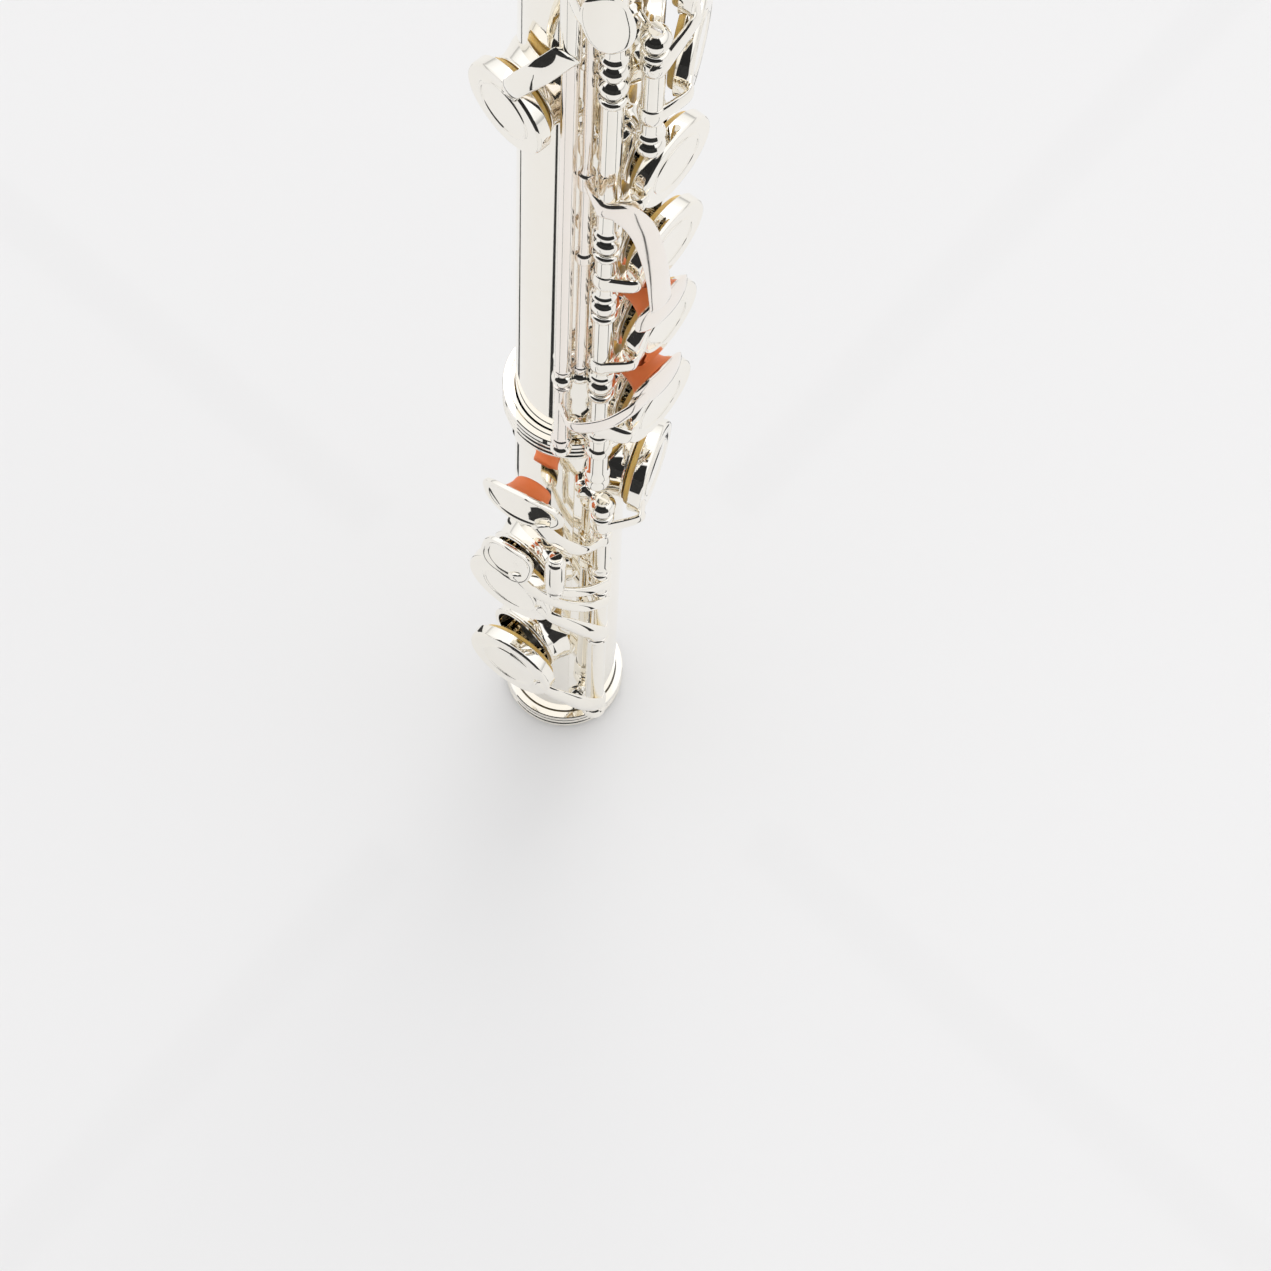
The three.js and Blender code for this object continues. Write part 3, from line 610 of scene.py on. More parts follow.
RIMMED = [                   # a recessed face inside a raised rim
    (0, -0.2), (0.35, -0.2), (0.66, -0.16), (0.74, -0.08), (0.8, 0.2), (0.86, 0.42), (0.93, 0.46),
    (0.985, 0.32), (1.0, 0.05), (0.99, -0.35), (0.94, -0.6), (0.6, -0.66), (0, -0.66),
]
CROWNED = [                  # a domed face with soft edges
    (0, 0.42), (0.35, 0.38), (0.65, 0.28), (0.85, 0.14), (0.95, 0.0), (1.0, -0.25),
    (0.97, -0.5), (0.85, -0.6), (0.4, -0.62), (0, -0.62),
]


def rib_strap(angle, half_width, low, high):
    """A strap soldered along the tube, with eased edges and round ends."""
    half = (high - low) / 2
    outline = []
    for k in range(48):
        turn = 2 * math.pi * (k + 0.5) / 48
        x, y = half_width * math.cos(turn), half_width * math.sin(turn)
        outline.append((x, y + math.copysign(half - half_width, y)))
    profile = [(0.97, 0.72), (1.0, 0.45), (1.0, -0.25), (0.97, -0.3)]
    rings = []
    for share, height in profile:
        ring = []
        for x, y in outline:
            inset = (1 - share) * half_width
            squeeze = 1 - inset / half
            turn = math.degrees(share * x / TUBE_R)
            ring.append(at(angle - turn, TUBE_R + 0.25 + height, (low + high) / 2 + y * squeeze))
        rings.append(ring)
    return loft_capped_by_strips(rings)


def loft_capped_by_strips(rings):
    """A loft whose two ends are filled with strips across, so that a curved strap stays round."""
    made = loft(rings)
    made.faces = [f for f in made.faces if len(f) <= 4]
    count = len(rings[0])
    for first in (0, (len(rings) - 1) * count):
        for k in range(count // 2 - 1):
            left = [count // 4 + k, count // 4 + k + 1]
            right = [count // 4 - 1 - k, count // 4 - 2 - k]
            quad = [left[0], left[1], right[1] % count, right[0] % count]
            made.faces.append(tuple(first + i for i in quad))
    return made


# ---- tubes, cut with their tone holes

def temporary(shape):
    """An object that lasts only while a shape is being cut."""
    mesh = bpy.data.meshes.new("temporary")
    mesh.from_pydata([p * MM for p in shape.points], [], shape.faces)
    work = bmesh.new()
    work.from_mesh(mesh)
    bmesh.ops.recalc_face_normals(work, faces=work.faces)
    work.to_mesh(mesh)
    work.free()
    made = bpy.data.objects.new("temporary", mesh)
    bpy.context.scene.collection.objects.link(made)
    return made


def combined(first, steps):
    """The shape after each (operation, shape) step, as a new shape."""
    base = temporary(first)
    tools = []
    for operation, other in steps:
        tool = temporary(other)
        tools.append(tool)
        change = base.modifiers.new("combine", "BOOLEAN")
        change.operation = operation
        change.solver = "EXACT"
        change.object = tool
    bpy.context.view_layer.update()
    found = base.evaluated_get(bpy.context.evaluated_depsgraph_get())
    mesh = found.to_mesh()
    made = Shape([v.co / MM for v in mesh.vertices], [tuple(f.vertices) for f in mesh.polygons])
    found.to_mesh_clear()
    for used in (base, *tools):
        bpy.data.objects.remove(used)
    return made


def smooth_round_tube(piece):
    """Gives the faces that lie round the axis the normals of a true round tube."""
    mesh = piece.data
    normals = [Vector(n.vector) for n in mesh.corner_normals]
    for face in mesh.polygons:
        if abs(face.normal.z) > 0.08:
            continue
        for corner in face.loop_indices:
            spot = mesh.vertices[mesh.loops[corner].vertex_index].co
            outward = Vector((spot.x, spot.y, 0)).normalized()
            facing = outward.dot(face.normal)
            if abs(facing) > 0.985:
                normals[corner] = outward * math.copysign(1, facing)
    mesh.normals_split_custom_set(normals)


def chimney(hole):
    """A drawn tone hole: its wall flares into the tube and ends in a rolled rim."""
    outer = hole.cup - 1.7
    outline = rounded([
        (0, 6), (outer + 1.3, 6), (outer + 1.1, 7.6), (outer + 0.35, 9.2), (outer, 10.4),
        (outer, SEAT_R - 0.55), (outer + 0.28, SEAT_R - 0.3), (outer + 0.1, SEAT_R),
        (outer - 0.5, SEAT_R), (0, SEAT_R),
    ], 0.5)
    return hole.on(turned(outline, 64))


def tone_hole(hole):
    """The plug that a tone hole takes out of its chimney and the tube."""
    return hole.on(turned([(0, 4), (hole.cup - 2.5, 4), (hole.cup - 2.5, 20), (0, 20)], 64))


def bored_tube(node, outline, bore, pads):
    """A tube with its bore and with the chimney and tone hole under each of its pads."""
    chimneys = Shape().add(*[chimney(HOLES[p]) for p in pads])
    holes = Shape().add(*[tone_hole(HOLES[p]) for p in pads])
    shape = combined(turned(outline, 160), [
        ("UNION", chimneys), ("DIFFERENCE", turned(bore, 160)), ("DIFFERENCE", holes),
    ])
    smooth_round_tube(fine(node, shape))


FOOT_PADS = ["c_foot_pad", "c_sharp_foot_pad", "d_sharp_foot_pad"]


def make_tubes():
    bored_tube(
        "foot_tube",
        [(0, 0), (TUBE_R, 0), (TUBE_R, SOCKET_FLOOR - 1.5), (TUBE_R + 0.3, SOCKET_FLOOR - 1.2),
         (SOCKET_R, SOCKET_FLOOR), (SOCKET_R, FOOT_TOP), (0, FOOT_TOP)],
        [(0, -1), (BORE_R, -1), (BORE_R, SOCKET_FLOOR - 1), (TUBE_R + 0.2, SOCKET_FLOOR),
         (TUBE_R + 0.2, FOOT_TOP + 1), (0, FOOT_TOP + 1)],
        FOOT_PADS,
    )
    low = SOCKET_FLOOR + 0.4
    bored_tube(
        "body_tube",
        [(0, low), (TUBE_R, low), (TUBE_R, BODY_TOP), (0, BODY_TOP)],
        [(0, low - 1), (BORE_R, low - 1), (BORE_R, BODY_TOP + 1), (0, BODY_TOP + 1)],
        [p for p in HOLES if p not in FOOT_PADS],
    )
    inner = TUBE_R + 0.2
    fine("barrel", turned(rounded([
        (inner, BARREL_LOW), (11.2, BARREL_LOW), (11.6, BARREL_LOW + 0.9),
        (11.2, BARREL_LOW + 1.8), (11.5, BARREL_LOW + 2.5), (11.1, BARREL_LOW + 3.3),
        (10.8, BARREL_LOW + 4), (10.8, BARREL_HIGH - 5.5), (11.1, BARREL_HIGH - 4.9),
        (11.1, BARREL_HIGH - 4.4), (11.8, BARREL_HIGH - 3.4), (11.8, BARREL_HIGH - 1.2),
        (11.3, BARREL_HIGH), (inner, BARREL_HIGH),
    ], 0.45, loop=True), 128, loop=True))


def beaded_ring(inner, outer, low, beads, pitch):
    """A reinforcing ring: half-round beads with thin grooves between them, under a flat-topped band."""
    outline = [(inner, low), (outer - 0.75, low)]
    for i in range(beads - 1):
        base = low + i * pitch
        for k in range(9):
            turn = math.pi * k / 8
            outline.append((outer - 0.55 + 0.55 * math.sin(turn),
                            base + pitch * (0.5 - 0.44 * math.cos(turn))))
    band = low + (beads - 1) * pitch
    top = band + pitch
    outline += [(outer - 0.75, band), (outer - 0.15, band + 0.1), (outer, band + 0.3),
                (outer, top - 0.15), (outer - 0.15, top), (inner, top)]
    return turned(outline, 128, loop=True)


# ---- headjoint

def make_headjoint():
    start = BODY_TOP + 0.4
    middle = BARREL_HIGH + 2
    tube = turned([
        (BORE_R, start), (TUBE_R, start), (TUBE_R, middle), (HEAD_TOP_R, HEAD_TOP),
        (HEAD_TOP_R - 0.5, HEAD_TOP), (BORE_R, middle),
    ], 160, loop=True)
    smooth_round_tube(fine("headjoint_tube", combined(tube, [("DIFFERENCE", blow_hole_cut())])))
    fine("lip_plate", lip_plate())
    base = HEAD_TOP + 0.4
    fine("crown", turned(rounded([
        (0, base), (8.8, base), (9.3, base + 0.9), (9.3, base + 2.4), (8.7, base + 3.2),
        (8.35, base + 3.9), (8.7, base + 4.7), (8.5, base + 5.4), (6.8, CROWN_TOP - 0.7),
        (3.4, CROWN_TOP - 0.05), (0, CROWN_TOP),
    ], 0.5), 96))


def blow_hole_cut():
    """The plug that the blow hole takes out of the tube's wall, a little narrower inside."""
    inner = 4
    outer = 16
    outline = oval(*BLOW_HOLE)
    return loft([
        [Vector((max(-inner, min(inner, x)), -inner, EMBOUCHURE_Z + y)) for x, y in outline],
        [Vector((x, -outer, EMBOUCHURE_Z + y)) for x, y in outline],
    ])


def drape(x, y, radius):
    """A point x to the side of the blow hole's line and y above it, at a distance from the axis."""
    turn = math.asin(max(-1.0, min(1.0, x / radius)))
    return Vector((radius * math.sin(turn), -radius * math.cos(turn), EMBOUCHURE_Z + y))


def lip_plate():
    """The curved plate with its blow hole, and the riser down to the tube, as one skin."""
    riser, edge = (7.2, 8.0), (12.4, 17.0)
    profile = [                  # share of the way from the hole to the edge, radius
        (0.0, 13.9), (0.06, 14.12), (0.25, 14.2), (0.55, 14.1), (0.85, 13.9),
        (0.96, 13.8), (1.0, 13.6), (0.97, 13.42), (0.7, 13.4), (0.4, 13.4),
    ]
    rings = []
    for share, radius in profile:
        size = [a + (b - a) * share for a, b in zip(BLOW_HOLE, edge)]
        rings.append([drape(x, y, radius) for x, y in oval(*size, squareness=2.15)])
    for grow, radius in ((0.35, 13.1), (0.1, 12.0), (0.0, 11.0), (0.35, TUBE_R - 0.1)):
        size = [a + grow for a in riser]
        rings.append([drape(x, y, radius) for x, y in oval(*size)])
    for grow, radius in ((0.12, TUBE_R - 0.15), (0.1, 12.0), (0.0, 13.5)):
        size = [a + grow for a in BLOW_HOLE]
        rings.append([drape(x, y, radius) for x, y in oval(*size)])
    return loft(rings, loop=True)


# ---- ribs and posts

def turned_sleeve():
    """The turned sleeve below the lowest stack key, round the end of the main steel."""
    return MAIN.on(turned(rounded([
        (STEEL_R, 121.5), (1.7, 121.5), (2.35, 122.9), (1.75, 124.5), (2.35, 126), (1.8, 127.4),
        (1.8, 134.5), (1.8, 140.8), (STEEL_R, 140.8),
    ], 0.9, loop=True), 40, loop=True))


def make_ribs():
    """Each rib is a strap along the tube with the posts that stand on it."""
    rib = rib_strap(61, 2.7, 132, 238)
    for z in (161, 190, 211):
        rib.add(post(MAIN, z, 50.5))
    rib.add(post(MAIN, 136, 56), post(TRILL, 134.2, 68), post(TRILL, 161, 68))
    rib.add(post(SECOND_TRILL, 161, 60), turned_sleeve())
    fine("right_hand_rib", rib)

    rib = rib_strap(61, 2.7, 257.5, 383)
    for z in (259.7, 264.6, 332):
        rib.add(post(MAIN, z, 56))
    rib.add(post(MAIN, 380, 56, head=1), post(TRILL, 297.5, 68))
    fine("left_hand_rib", rib)

    rib = rib_strap(64, 2.2, 390, 422)
    rib.add(post(SECOND_TRILL, 401.5, 60, head=1), post(TRILL, 418.8, 68, head=1))
    fine("upper_trill_rib", rib)

    rib = rib_strap(99, 1.7, 311, 367)
    rib.add(post(THUMB, 314, 100, head=-1), post(THUMB, 364, 100, head=1))
    fine("thumb_rib", rib)

    rib = rib_strap(47.5, 1.7, 12.5, 112.5)
    rib.add(post(FOOT, 16, 46, head=-1), post(FOOT, 109, 46, head=1))
    fine("foot_rib", rib)

    for node, z, head in (("g_lower_post", 239, -1), ("g_upper_post", 270, 1)):
        base = rib_strap(OFFSET_G.angle, 1.7, z - 2.2, z + 2.2)
        fine(node, base.add(post(OFFSET_G, z, OFFSET_G.angle, head=head)))


def make_steels():
    """The steel rods that the hinge tubes turn on, with eased ends."""
    for node, rod in (("right_hand_steel", MAIN), ("left_hand_steel", MAIN), ("g_steel", OFFSET_G),
                      ("thumb_steel", THUMB), ("foot_steel", FOOT)):
        low, high = (corner.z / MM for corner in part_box(node))
        outline = rounded([(0, low), (STEEL_R - 0.04, low), (STEEL_R - 0.04, high), (0, high)], 0.3)
        fine(node, rod.on(turned(outline, 32)), STEEL)


# ---- keys

def plate(outline, profile, angle, z, radius):
    """A plate bent gently round the flute. profile runs from the middle of the face, over the
    edge, to the middle of the back, as (share of the outline, height)."""
    bend = 26.0
    there = hole_matrix(angle, z)
    rings = []
    for share, height in profile:
        if share < 1e-6:
            rings.append([there @ Vector((0, 0, radius + height))])
            continue
        ring = []
        for x, y in outline:
            turn = share * x / bend
            reach = bend + height
            spot = Vector((reach * math.sin(turn), share * y, radius - bend + reach * math.cos(turn)))
            ring.append(there @ spot)
        rings.append(ring)
    return loft(rings)


def key(node, shape, look=None):
    """A key, raised if it stands open, with its pads."""
    rod, pads = KEY_PADS[node]
    stands_open = node in STANDS_OPEN
    fine(node, rod.raised(shape) if stands_open else shape, look)
    for name in pads:
        shape = pad(HOLES[name])
        made = fine(name, rod.raised(shape) if stands_open else shape, YELLOW_SKIN)


def cup_key(node, arm_z, bearing=0.0):
    """Hinge tube, cup, washer and arm of a key with one cup."""
    rod, pads = KEY_PADS[node]
    hole = HOLES[pads[0]]
    low, high = span(node, rod)
    return hinge_tube(rod, low, high).add(
        cup(hole), washer(hole), collar(rod, arm_z, 4.6), cup_arm(rod, arm_z, hole, bearing))


def make_stack_keys():
    """The keys with one cup each on the main hinge line."""
    for node, arm_z, bearing in (
        ("d_key", 146, 10), ("e_key", 169, 0), ("f_key", 199, 0), ("f_sharp_key", 224, 0),
        ("a_key", 292, -10), ("b_flat_key", 315, 0),
    ):
        key(node, cup_key(node, arm_z, bearing))


def make_c_sharp_key():
    """The small cup and, lower down on the same tube, the round dished plate for the finger."""
    touch_z = 345
    outline = rounded([
        (0, 15.5), (4.9, 15.6), (5.8, 15.95), (6.6, 16.2), (7.15, 15.8), (7.1, 15.3),
        (6.4, 14.95), (0, 14.95)], 0.3)
    touch = turned(outline, 72).moved(hole_matrix(0, touch_z))
    start = at(MAIN.angle + 1, MAIN.radius + 1.5, touch_z)
    arm = strap([start, at(33, 16.6, touch_z), at(20, 15.6, touch_z)],
                (4.4, 3.6, 3.0), (1.5, 1.3, 0.8))
    key("c_sharp_key", cup_key("c_sharp_key", 371).add(touch, collar(MAIN, touch_z, 4.6), arm))


def make_g_keys():
    """The offset G key with its two cups, and the G-sharp key on the other side of the tube."""
    upper = HOLES["g_upper_pad"]
    key("g_key", cup_key("g_key", 249).add(
        cup(upper), washer(upper), collar(OFFSET_G, 263, 3.6),
        cup_arm(OFFSET_G, 263, upper, -35)))

    hole = HOLES["g_sharp_pad"]
    low, high = 265.8, 294.8
    sleeve = TRILL.on(turned(rounded([
        (1.15, low), (1.72, low), (1.72, high), (1.15, high)], 0.25, loop=True), 40, loop=True))
    arm = strap([at(70, 15.6, 269), at(84, 17.2, 264), at(97, 17.0, 256.5), at(104, 15.9, 250.5)],
                (5, 4.2, 3.0), (1.5, 1.4, 0.8))
    touch = plate(oval(3.75, 8.5, 2.3, lean=12), CROWNED, 51, 284, 19.6)
    touch_arm = strap([at(68, 15.4, 285), at(62, 18.4, 285), at(54, 19.5, 285)],
                      (5, 4.4, 4), (1.4, 1.3, 0.9))
    key("g_sharp_key", sleeve.add(cup(hole), washer(hole), arm, touch, touch_arm))


def make_thumb_keys():
    """The thumb key with its cup, and the B-flat lever beside it."""
    arm = strap([at(112, 16.3, 322), at(134, 17.2, 321), at(150, 16.7, 320)], (5, 4.5), (1.4, 1.2))
    touch = plate(oval(6, 10, 3), CROWNED, 157, 319, 16.8)
    key("thumb_key", cup_key("thumb_key", 337).add(arm, touch, collar(THUMB, 322, 5)))

    low, high = span("thumb_b_flat_lever", THUMB)
    arm = strap([at(112, 16.3, 352), at(134, 17.7, 352.5), at(150, 17.3, 353)], (5, 4.5), (1.4, 1.2))
    touch = plate(oval(5.5, 6.5, 3), CROWNED, 157, 353, 17.4)
    fine("thumb_b_flat_lever",
         hinge_tube(THUMB, low, high).add(arm, touch, collar(THUMB, 352, 5)))


def shaft(rod, outline):
    """A solid rod turned on a hinge line."""
    return rod.on(turned(rounded(outline, 0.35), 40))


def stop_block(node, touch, low, width, length):
    """The soft stop under a finger plate: an oval block that narrows towards the tube."""
    angle, z, radius = touch
    top = radius - 0.85
    depth = top - low
    block = turned(rounded([
        (0, low), (3.05, low), (3.2, low + 0.35 * depth), (3.85, low + 0.7 * depth),
        (5.3, top), (0, top)], 0.6, 5), 72)
    sized = block.moved(Matrix.Diagonal((width, length, 1, 1)))
    fine(node, sized.moved(hole_matrix(angle, z)), ORANGE_RUBBER)


def make_trill_keys():
    """The two trill keys: long rods that carry a small cup high up and a finger plate low down."""
    pivot = 0.85
    tube = SECOND_TRILL.tube
    hole = HOLES["d_trill_pad"]
    rod = shaft(SECOND_TRILL, [
        (0, 163.1), (tube + 0.35, 163.1), (tube + 0.35, 164.8), (tube, 165.4), (tube, 201.8),
        (1.5, 202.4), (1.5, 204.6), (tube, 205.2), (tube, 225.8), (1.45, 226.4), (1.45, 230.6),
        (tube, 231.2), (tube, 231.5), (pivot, 232.5), (pivot, 399.4), (0, 399.4)])
    lever = strap([at(56.5, 14.3, 228.4), at(51, 19.0, 228.6), at(41, 20.2, 227.4),
                   at(32, 20.6, 220), at(24, 20.5, 205), at(18, 19.8, 189)],
                  (4.4, 4.2, 4.6), (1.2, 1.2, 1.1), 72)
    angle, z, radius = D_TRILL_TOUCH
    touch = plate(oval(6.2, 4.7, 2.4), CROWNED, angle, z, radius)
    arm = strap([at(56.5, 14.1, 394), at(40, 16.6, 394), at(27, 16.2, 394.6)], (4, 3), (1.3, 0.9))
    key("d_trill_key", rod.add(lever, touch, arm, cup(hole), washer(hole)), ROD_SILVER)

    tube = TRILL.tube
    neck = STEEL_R
    axle = 0.9
    hole = HOLES["d_sharp_trill_pad"]
    rod = shaft(TRILL, [
        (0, 136.5), (1.8, 136.5), (1.8, 138.3), (tube, 139), (tube, 157.4), (1.6, 157.7),
        (1.6, 158.7), (neck, 158.8), (neck, 163.3), (1.6, 163.4), (1.6, 164.4), (tube, 164.8),
        (tube, 265.5), (axle, 265.6), (axle, 295.0), (neck, 295.2), (neck, 299.9), (tube, 300),
        (tube, 416.5), (0, 416.5)])
    lever = strap([at(68.5, 15.1, 151.5), at(61, 18.8, 152), at(46, 20.1, 154.5),
                   at(34, 20.4, 157), at(24, 19.9, 158)], (4.4, 4.2, 4.2), (1.2, 1.2, 1.1), 60)
    angle, z, radius = D_SHARP_TRILL_TOUCH
    touch = plate(oval(6.2, 4.6, 2.4), CROWNED, angle, z, radius)
    arm = strap([at(68.5, 15.1, 410), at(48, 17.2, 410), at(27, 16.2, 410.6)], (4, 3), (1.3, 0.9))
    key("d_sharp_trill_key", rod.add(lever, touch, arm, cup(hole), washer(hole)), ROD_SILVER)
    stop_block("d_trill_bumper", D_TRILL_TOUCH, 12.9, 1.0, 0.75)
    stop_block("d_sharp_trill_bumper", D_SHARP_TRILL_TOUCH, 12.9, 1.0, 0.75)


def foot_arm(start_z, hole):
    """A long arm that sweeps from the hinge tube up to the cup's near edge, ending in a point."""
    return strap([at(39, 16.2, start_z), at(49, 17.1, hole.z - 12), at(60, 17.5, hole.z - 6.5),
                  at(71, 17.6, hole.z - 2.5), at(81, 17.1, hole.z)],
                 (4.2, 4.0, 3.6, 2.2), (2.0, 1.8, 1.5, 0.8), 60)


def make_foot_keys():
    """The low C, C-sharp and D-sharp keys, and the lever with its roller."""
    low, high = span("c_foot_key", FOOT)
    hole = HOLES["c_foot_pad"]
    key("c_foot_key", hinge_tube(FOOT, low, high).add(
        cup(hole), washer(hole), collar(FOOT, 20.9, 4.2), foot_arm(20.8, hole)))

    low, high = span("c_sharp_foot_key", FOOT)
    hole = HOLES["c_sharp_foot_pad"]
    lever = strap([at(38, 16.4, 70.4), at(52, 17.4, 74), at(68, 17.6, 77.8),
                   at(84, 17.8, 82.4), at(95, 17.9, 87)], (3.2, 3.2), (1.8, 1.6, 1.3), 60)
    touch = plate(oval(5.25, 7, 2.9, lean=-8), RIMMED, 100.5, 91.5, 18)
    key("c_sharp_foot_key", hinge_tube(FOOT, low, high).add(
        cup(hole), washer(hole), collar(FOOT, 55, 4.2), foot_arm(55, hole),
        collar(FOOT, 70.4, 3.6), lever, touch))

    low, high = span("c_roller_lever", FOOT)
    lever = strap([at(38, 16.4, 78.4), at(50, 17.2, 80.6), at(61, 17.8, 82.8),
                   at(71, 18.2, 84.8)], (3.2, 3.0), (1.8, 1.5), 48)
    pin = at(71, 18.2, 0)
    fork = turned(rounded([(0, 84.2), (1.6, 84.2), (1.6, 85.9), (0.6, 85.9), (0.6, 98.5),
                           (1.5, 98.5), (1.3, 99.4), (0, 99.4)], 0.3), 32)
    fine("c_roller_lever", FOOT.raised(hinge_tube(FOOT, low, high).add(
        collar(FOOT, 78.4, 3.8), lever, fork.moved(Matrix.Translation(pin)))))
    low, high = (corner.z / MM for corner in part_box("c_roller"))
    fine("c_roller", ROLLER.on(turned(rounded([
        (0.9, low), (1.35, low), (1.9, low + 0.9), (1.98, (low + high) / 2), (1.9, high - 0.9),
        (1.35, high), (0.9, high)], 0.5, loop=True), 48, loop=True)))

    low, high = span("d_sharp_foot_key", FOOT)
    hole = HOLES["d_sharp_foot_pad"]
    angle, z, radius = D_SHARP_TOUCH
    lever = strap([at(40, 16.1, 97), at(54, 17.8, 99), at(68, 18.2, 104), at(78, 18, 108)],
                  (4.2, 4), (1.2, 1.1), 48)
    touch = plate(oval(8.5, 5.5, 2.3, lean=14), RIMMED, angle, z, radius)
    key("d_sharp_foot_key", hinge_tube(FOOT, low, high).add(
        cup(hole), washer(hole), collar(FOOT, 102.5, 4.4), cup_arm(FOOT, 102.5, hole, -20),
        collar(FOOT, 97, 4), lever, touch))
    stop_block("d_sharp_bumper", D_SHARP_TOUCH, 12.5, 1.15, 0.85)


make_tubes()
make_headjoint()
fine("foot_receiver_ring", beaded_ring(SOCKET_R + 0.2, 12.1, FOOT_TOP - 6, 4, 1.5))
fine("foot_end_ring", beaded_ring(TUBE_R + 0.2, 11.4, 0, 3, 1.5))
make_ribs()
make_steels()
make_stack_keys()
make_c_sharp_key()
make_g_keys()
make_thumb_keys()
make_trill_keys()
make_foot_keys()

for node, look in (("stopper_screw", STEEL), ("stopper_cork", CORK), ("stopper_nut", SILVER)):
    mesh = frame["nodes"][node].data
    mesh.materials.clear()
    mesh.materials.append(look)


# ------------------------------------------------------------------ floor, light and camera

# The camera looks down steeply from the player's side of the keys.
CAMERA_PLACE = Vector((-318.6, -172.1, 871.9))               # millimetres
CAMERA_AHEAD = Vector((0.351, 0.173, -0.920))
CAMERA_ROLL = 3.65                                           # degrees
CAMERA_FIELD = 15.1                                          # degrees across the frame
SENSOR_WIDTH = 36

OVERHEAD = (0.97, 0.975, 1.0)                                # the white studio, high up
BACKDROP = (0.70, 0.70, 0.71)                                # what the camera sees past the floor
WORLD_STRENGTH = 1.12
DARK_SIDE = Vector((-0.93, -0.25, 0.26)).normalized()        # the middle of the dark room
DARK_EDGE = (0.65, 0.69)     # cosines from its middle, where the dark room starts and is full
CARD_REACH = 0.55            # the black card's distance from the flute, in metres
CARD_HEIGHT = 0.34
CARD_HALF_TURN = 58          # degrees
CARD_STEPS = 24
STRIP_TURNS = (-12, 78, 168, 258)                            # floor strips, in degrees
STRIP_ENDS = (0.05, 0.3)
STRIP_HALF_WIDTH = 0.005
STRIP_LIFT = 0.001

def floor_material():
    made, nodes, links, shader = new_material("studio_floor")
    shader.inputs["Roughness"].default_value = 0.75
    drift = noise(nodes, links, 2.2, 2.0)
    links.new(ramp(nodes, links, drift, [(0.3, (0.755, 0.748, 0.735)), (0.7, (0.775, 0.768, 0.755))]),
              shader.inputs["Base Color"])
    return made


def make_floor():
    half = 4.0
    z = -0.0004                  # just below the foot end
    mesh = bpy.data.meshes.new("floor")
    mesh.from_pydata([(-half, -half, z), (half, -half, z), (half, half, z), (-half, half, z)],
                     [], [(0, 1, 2, 3)])
    mesh.materials.append(floor_material())
    made = bpy.data.objects.new("floor", mesh)
    bpy.context.scene.collection.objects.link(made)


def make_camera():
    data = bpy.data.cameras.new("camera")
    made = bpy.data.objects.new("camera", data)
    bpy.context.scene.collection.objects.link(made)
    data.sensor_width = SENSOR_WIDTH
    data.lens = SENSOR_WIDTH / 2 / math.tan(math.radians(CAMERA_FIELD / 2))
    data.clip_start = 0.01
    data.clip_end = 50
    ahead = CAMERA_AHEAD.normalized()
    right = ahead.cross(Vector((0, 0, 1))).normalized()
    up = right.cross(ahead)
    roll = math.radians(CAMERA_ROLL)
    tilted_right = right * math.cos(roll) + up * math.sin(roll)
    tilted_up = up * math.cos(roll) - right * math.sin(roll)
    turn = Matrix((tilted_right, tilted_up, -ahead)).transposed().to_4x4()
    made.matrix_world = Matrix.Translation(CAMERA_PLACE * MM) @ turn
    bpy.context.scene.camera = made


def make_softbox():
    """A large, faint light high on the far side of the flute."""
    place, target = Vector((1.3, 0.3, 1.7)), Vector((0, 0, 0.1))
    data = bpy.data.lights.new("softbox", "AREA")
    data.shape = "RECTANGLE"
    data.size = data.size_y = 1.2
    data.energy = 6
    made = bpy.data.objects.new("softbox", data)
    bpy.context.scene.collection.objects.link(made)
    made.location = place
    made.rotation_euler = (target - place).to_track_quat("-Z", "Y").to_euler()


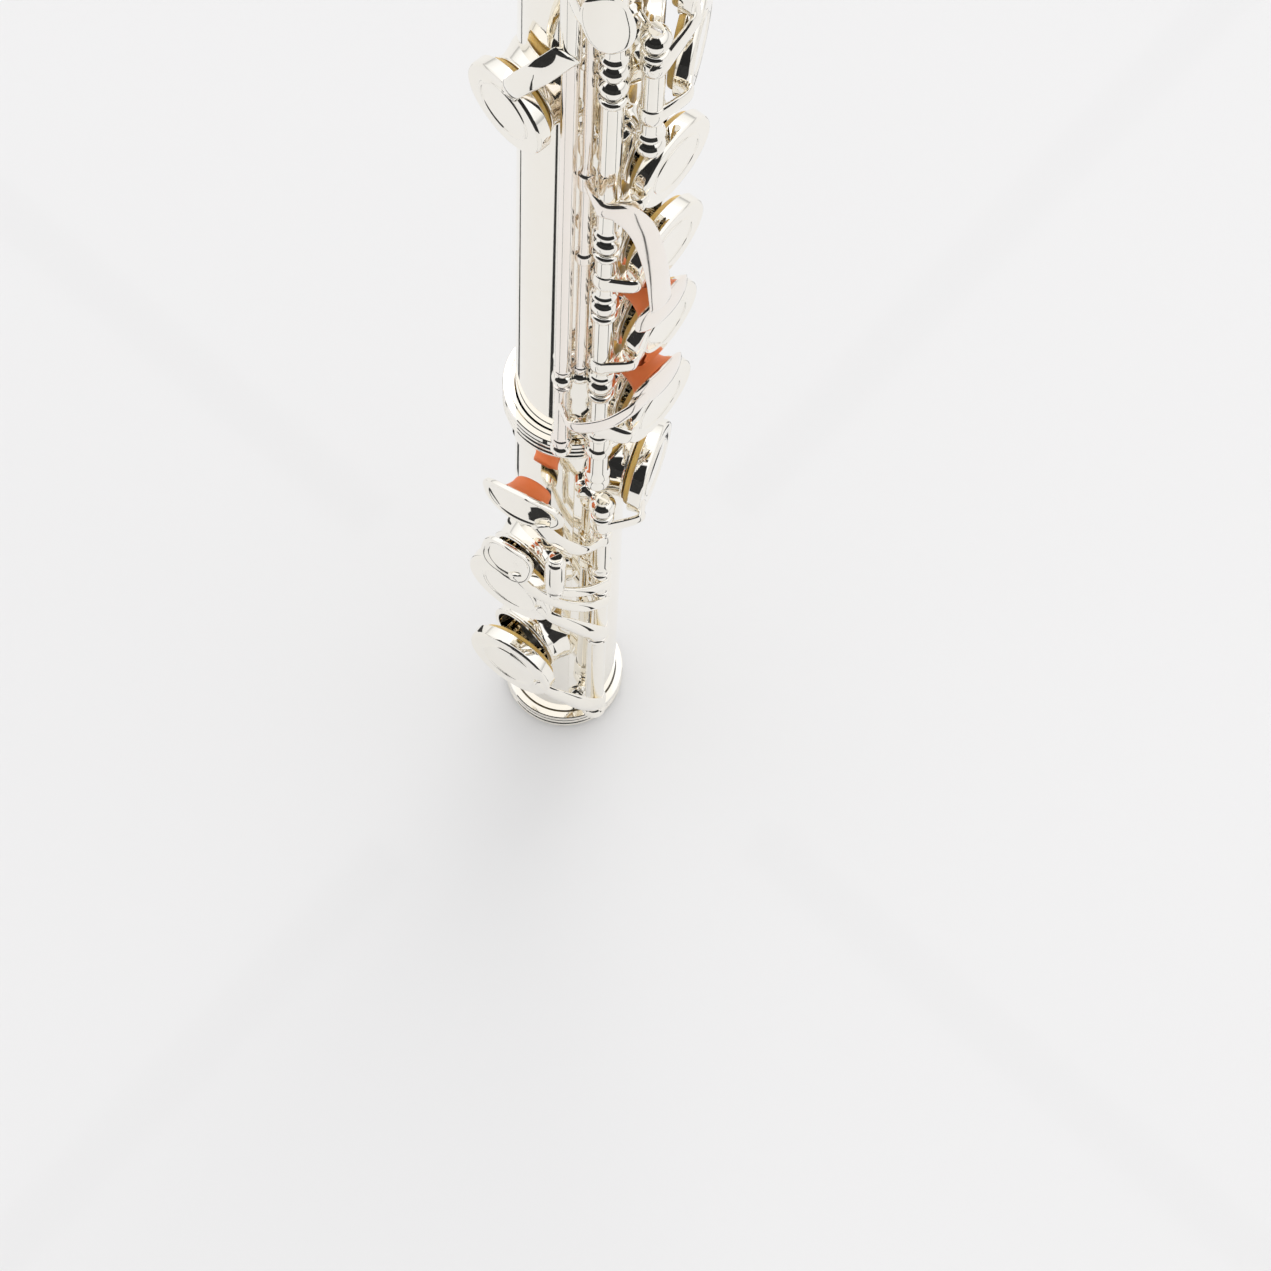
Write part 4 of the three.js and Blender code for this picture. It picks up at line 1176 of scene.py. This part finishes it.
def make_world():
    """A white studio with a wide patch of dark room on the player's side, seen in reflections."""
    world = bpy.data.worlds.new("studio")
    bpy.context.scene.world = world
    world.use_nodes = True
    nodes, links = world.node_tree.nodes, world.node_tree.links
    where = nodes.new("ShaderNodeTexCoord")
    parts = nodes.new("ShaderNodeSeparateXYZ")
    links.new(where.outputs["Generated"], parts.inputs[0])
    light = ramp(nodes, links, parts.outputs["Z"], [
        (0.0, grey(0.5)), (0.15, grey(0.85)), (0.5, OVERHEAD), (1.0, OVERHEAD)])
    facing = nodes.new("ShaderNodeVectorMath")
    facing.operation = "DOT_PRODUCT"
    facing.inputs[1].default_value = DARK_SIDE
    links.new(where.outputs["Generated"], facing.inputs[0])
    start, full = DARK_EDGE
    dark = ramp(nodes, links, facing.outputs["Value"], [(start, grey(1)), (full, grey(0.02))])
    kept = nodes.new("ShaderNodeMixRGB")
    kept.blend_type = "MULTIPLY"
    path = nodes.new("ShaderNodeLightPath")
    links.new(path.outputs["Is Glossy Ray"], kept.inputs[0])
    links.new(light, kept.inputs[1])
    links.new(dark, kept.inputs[2])
    seen = nodes.new("ShaderNodeMixRGB")
    links.new(path.outputs["Is Camera Ray"], seen.inputs[0])
    links.new(kept.outputs[0], seen.inputs[1])
    seen.inputs[2].default_value = (*BACKDROP, 1.0)
    links.new(seen.outputs[0], nodes["Background"].inputs["Color"])
    nodes["Background"].inputs["Strength"].default_value = WORLD_STRENGTH


def make_flags():
    """Black cards that only reflections see: one low round the dark side, and strips on the floor."""
    made, nodes, links, shader = new_material("black_card")
    shader.inputs["Roughness"].default_value = 0.9
    links.new(ramp(nodes, links, noise(nodes, links, 30.0), [(0.3, grey(0.010)), (0.7, grey(0.018))]),
              shader.inputs["Base Color"])
    middle = math.atan2(DARK_SIDE.y, DARK_SIDE.x)
    points, faces = [], []
    for k in range(CARD_STEPS + 1):
        turn = middle + math.radians(CARD_HALF_TURN * (2 * k / CARD_STEPS - 1))
        for height in (0.0, CARD_HEIGHT):
            points.append((CARD_REACH * math.cos(turn), CARD_REACH * math.sin(turn), height))
    for k in range(CARD_STEPS):
        faces.append((2 * k, 2 * k + 2, 2 * k + 3, 2 * k + 1))
    near, far = STRIP_ENDS
    lift = Vector((0, 0, STRIP_LIFT))
    for turn in STRIP_TURNS:
        along = Vector((math.cos(math.radians(turn)), math.sin(math.radians(turn)), 0))
        across = Vector((-along.y, along.x, 0)) * STRIP_HALF_WIDTH
        first = len(points)
        points += [along * near - across + lift, along * far - across + lift,
                   along * far + across + lift, along * near + across + lift]
        faces.append((first, first + 1, first + 2, first + 3))
    mesh = bpy.data.meshes.new("flags")
    mesh.from_pydata(points, [], faces)
    mesh.materials.append(made)
    flags = bpy.data.objects.new("flags", mesh)
    bpy.context.scene.collection.objects.link(flags)
    flags.visible_camera = False
    flags.visible_diffuse = False
    flags.visible_shadow = False
    flags.visible_transmission = False


make_flags()
make_floor()
make_camera()
make_world()
make_softbox()
bpy.context.scene.cycles.glossy_bounces = 10
bpy.context.scene.view_settings.view_transform = "Standard"
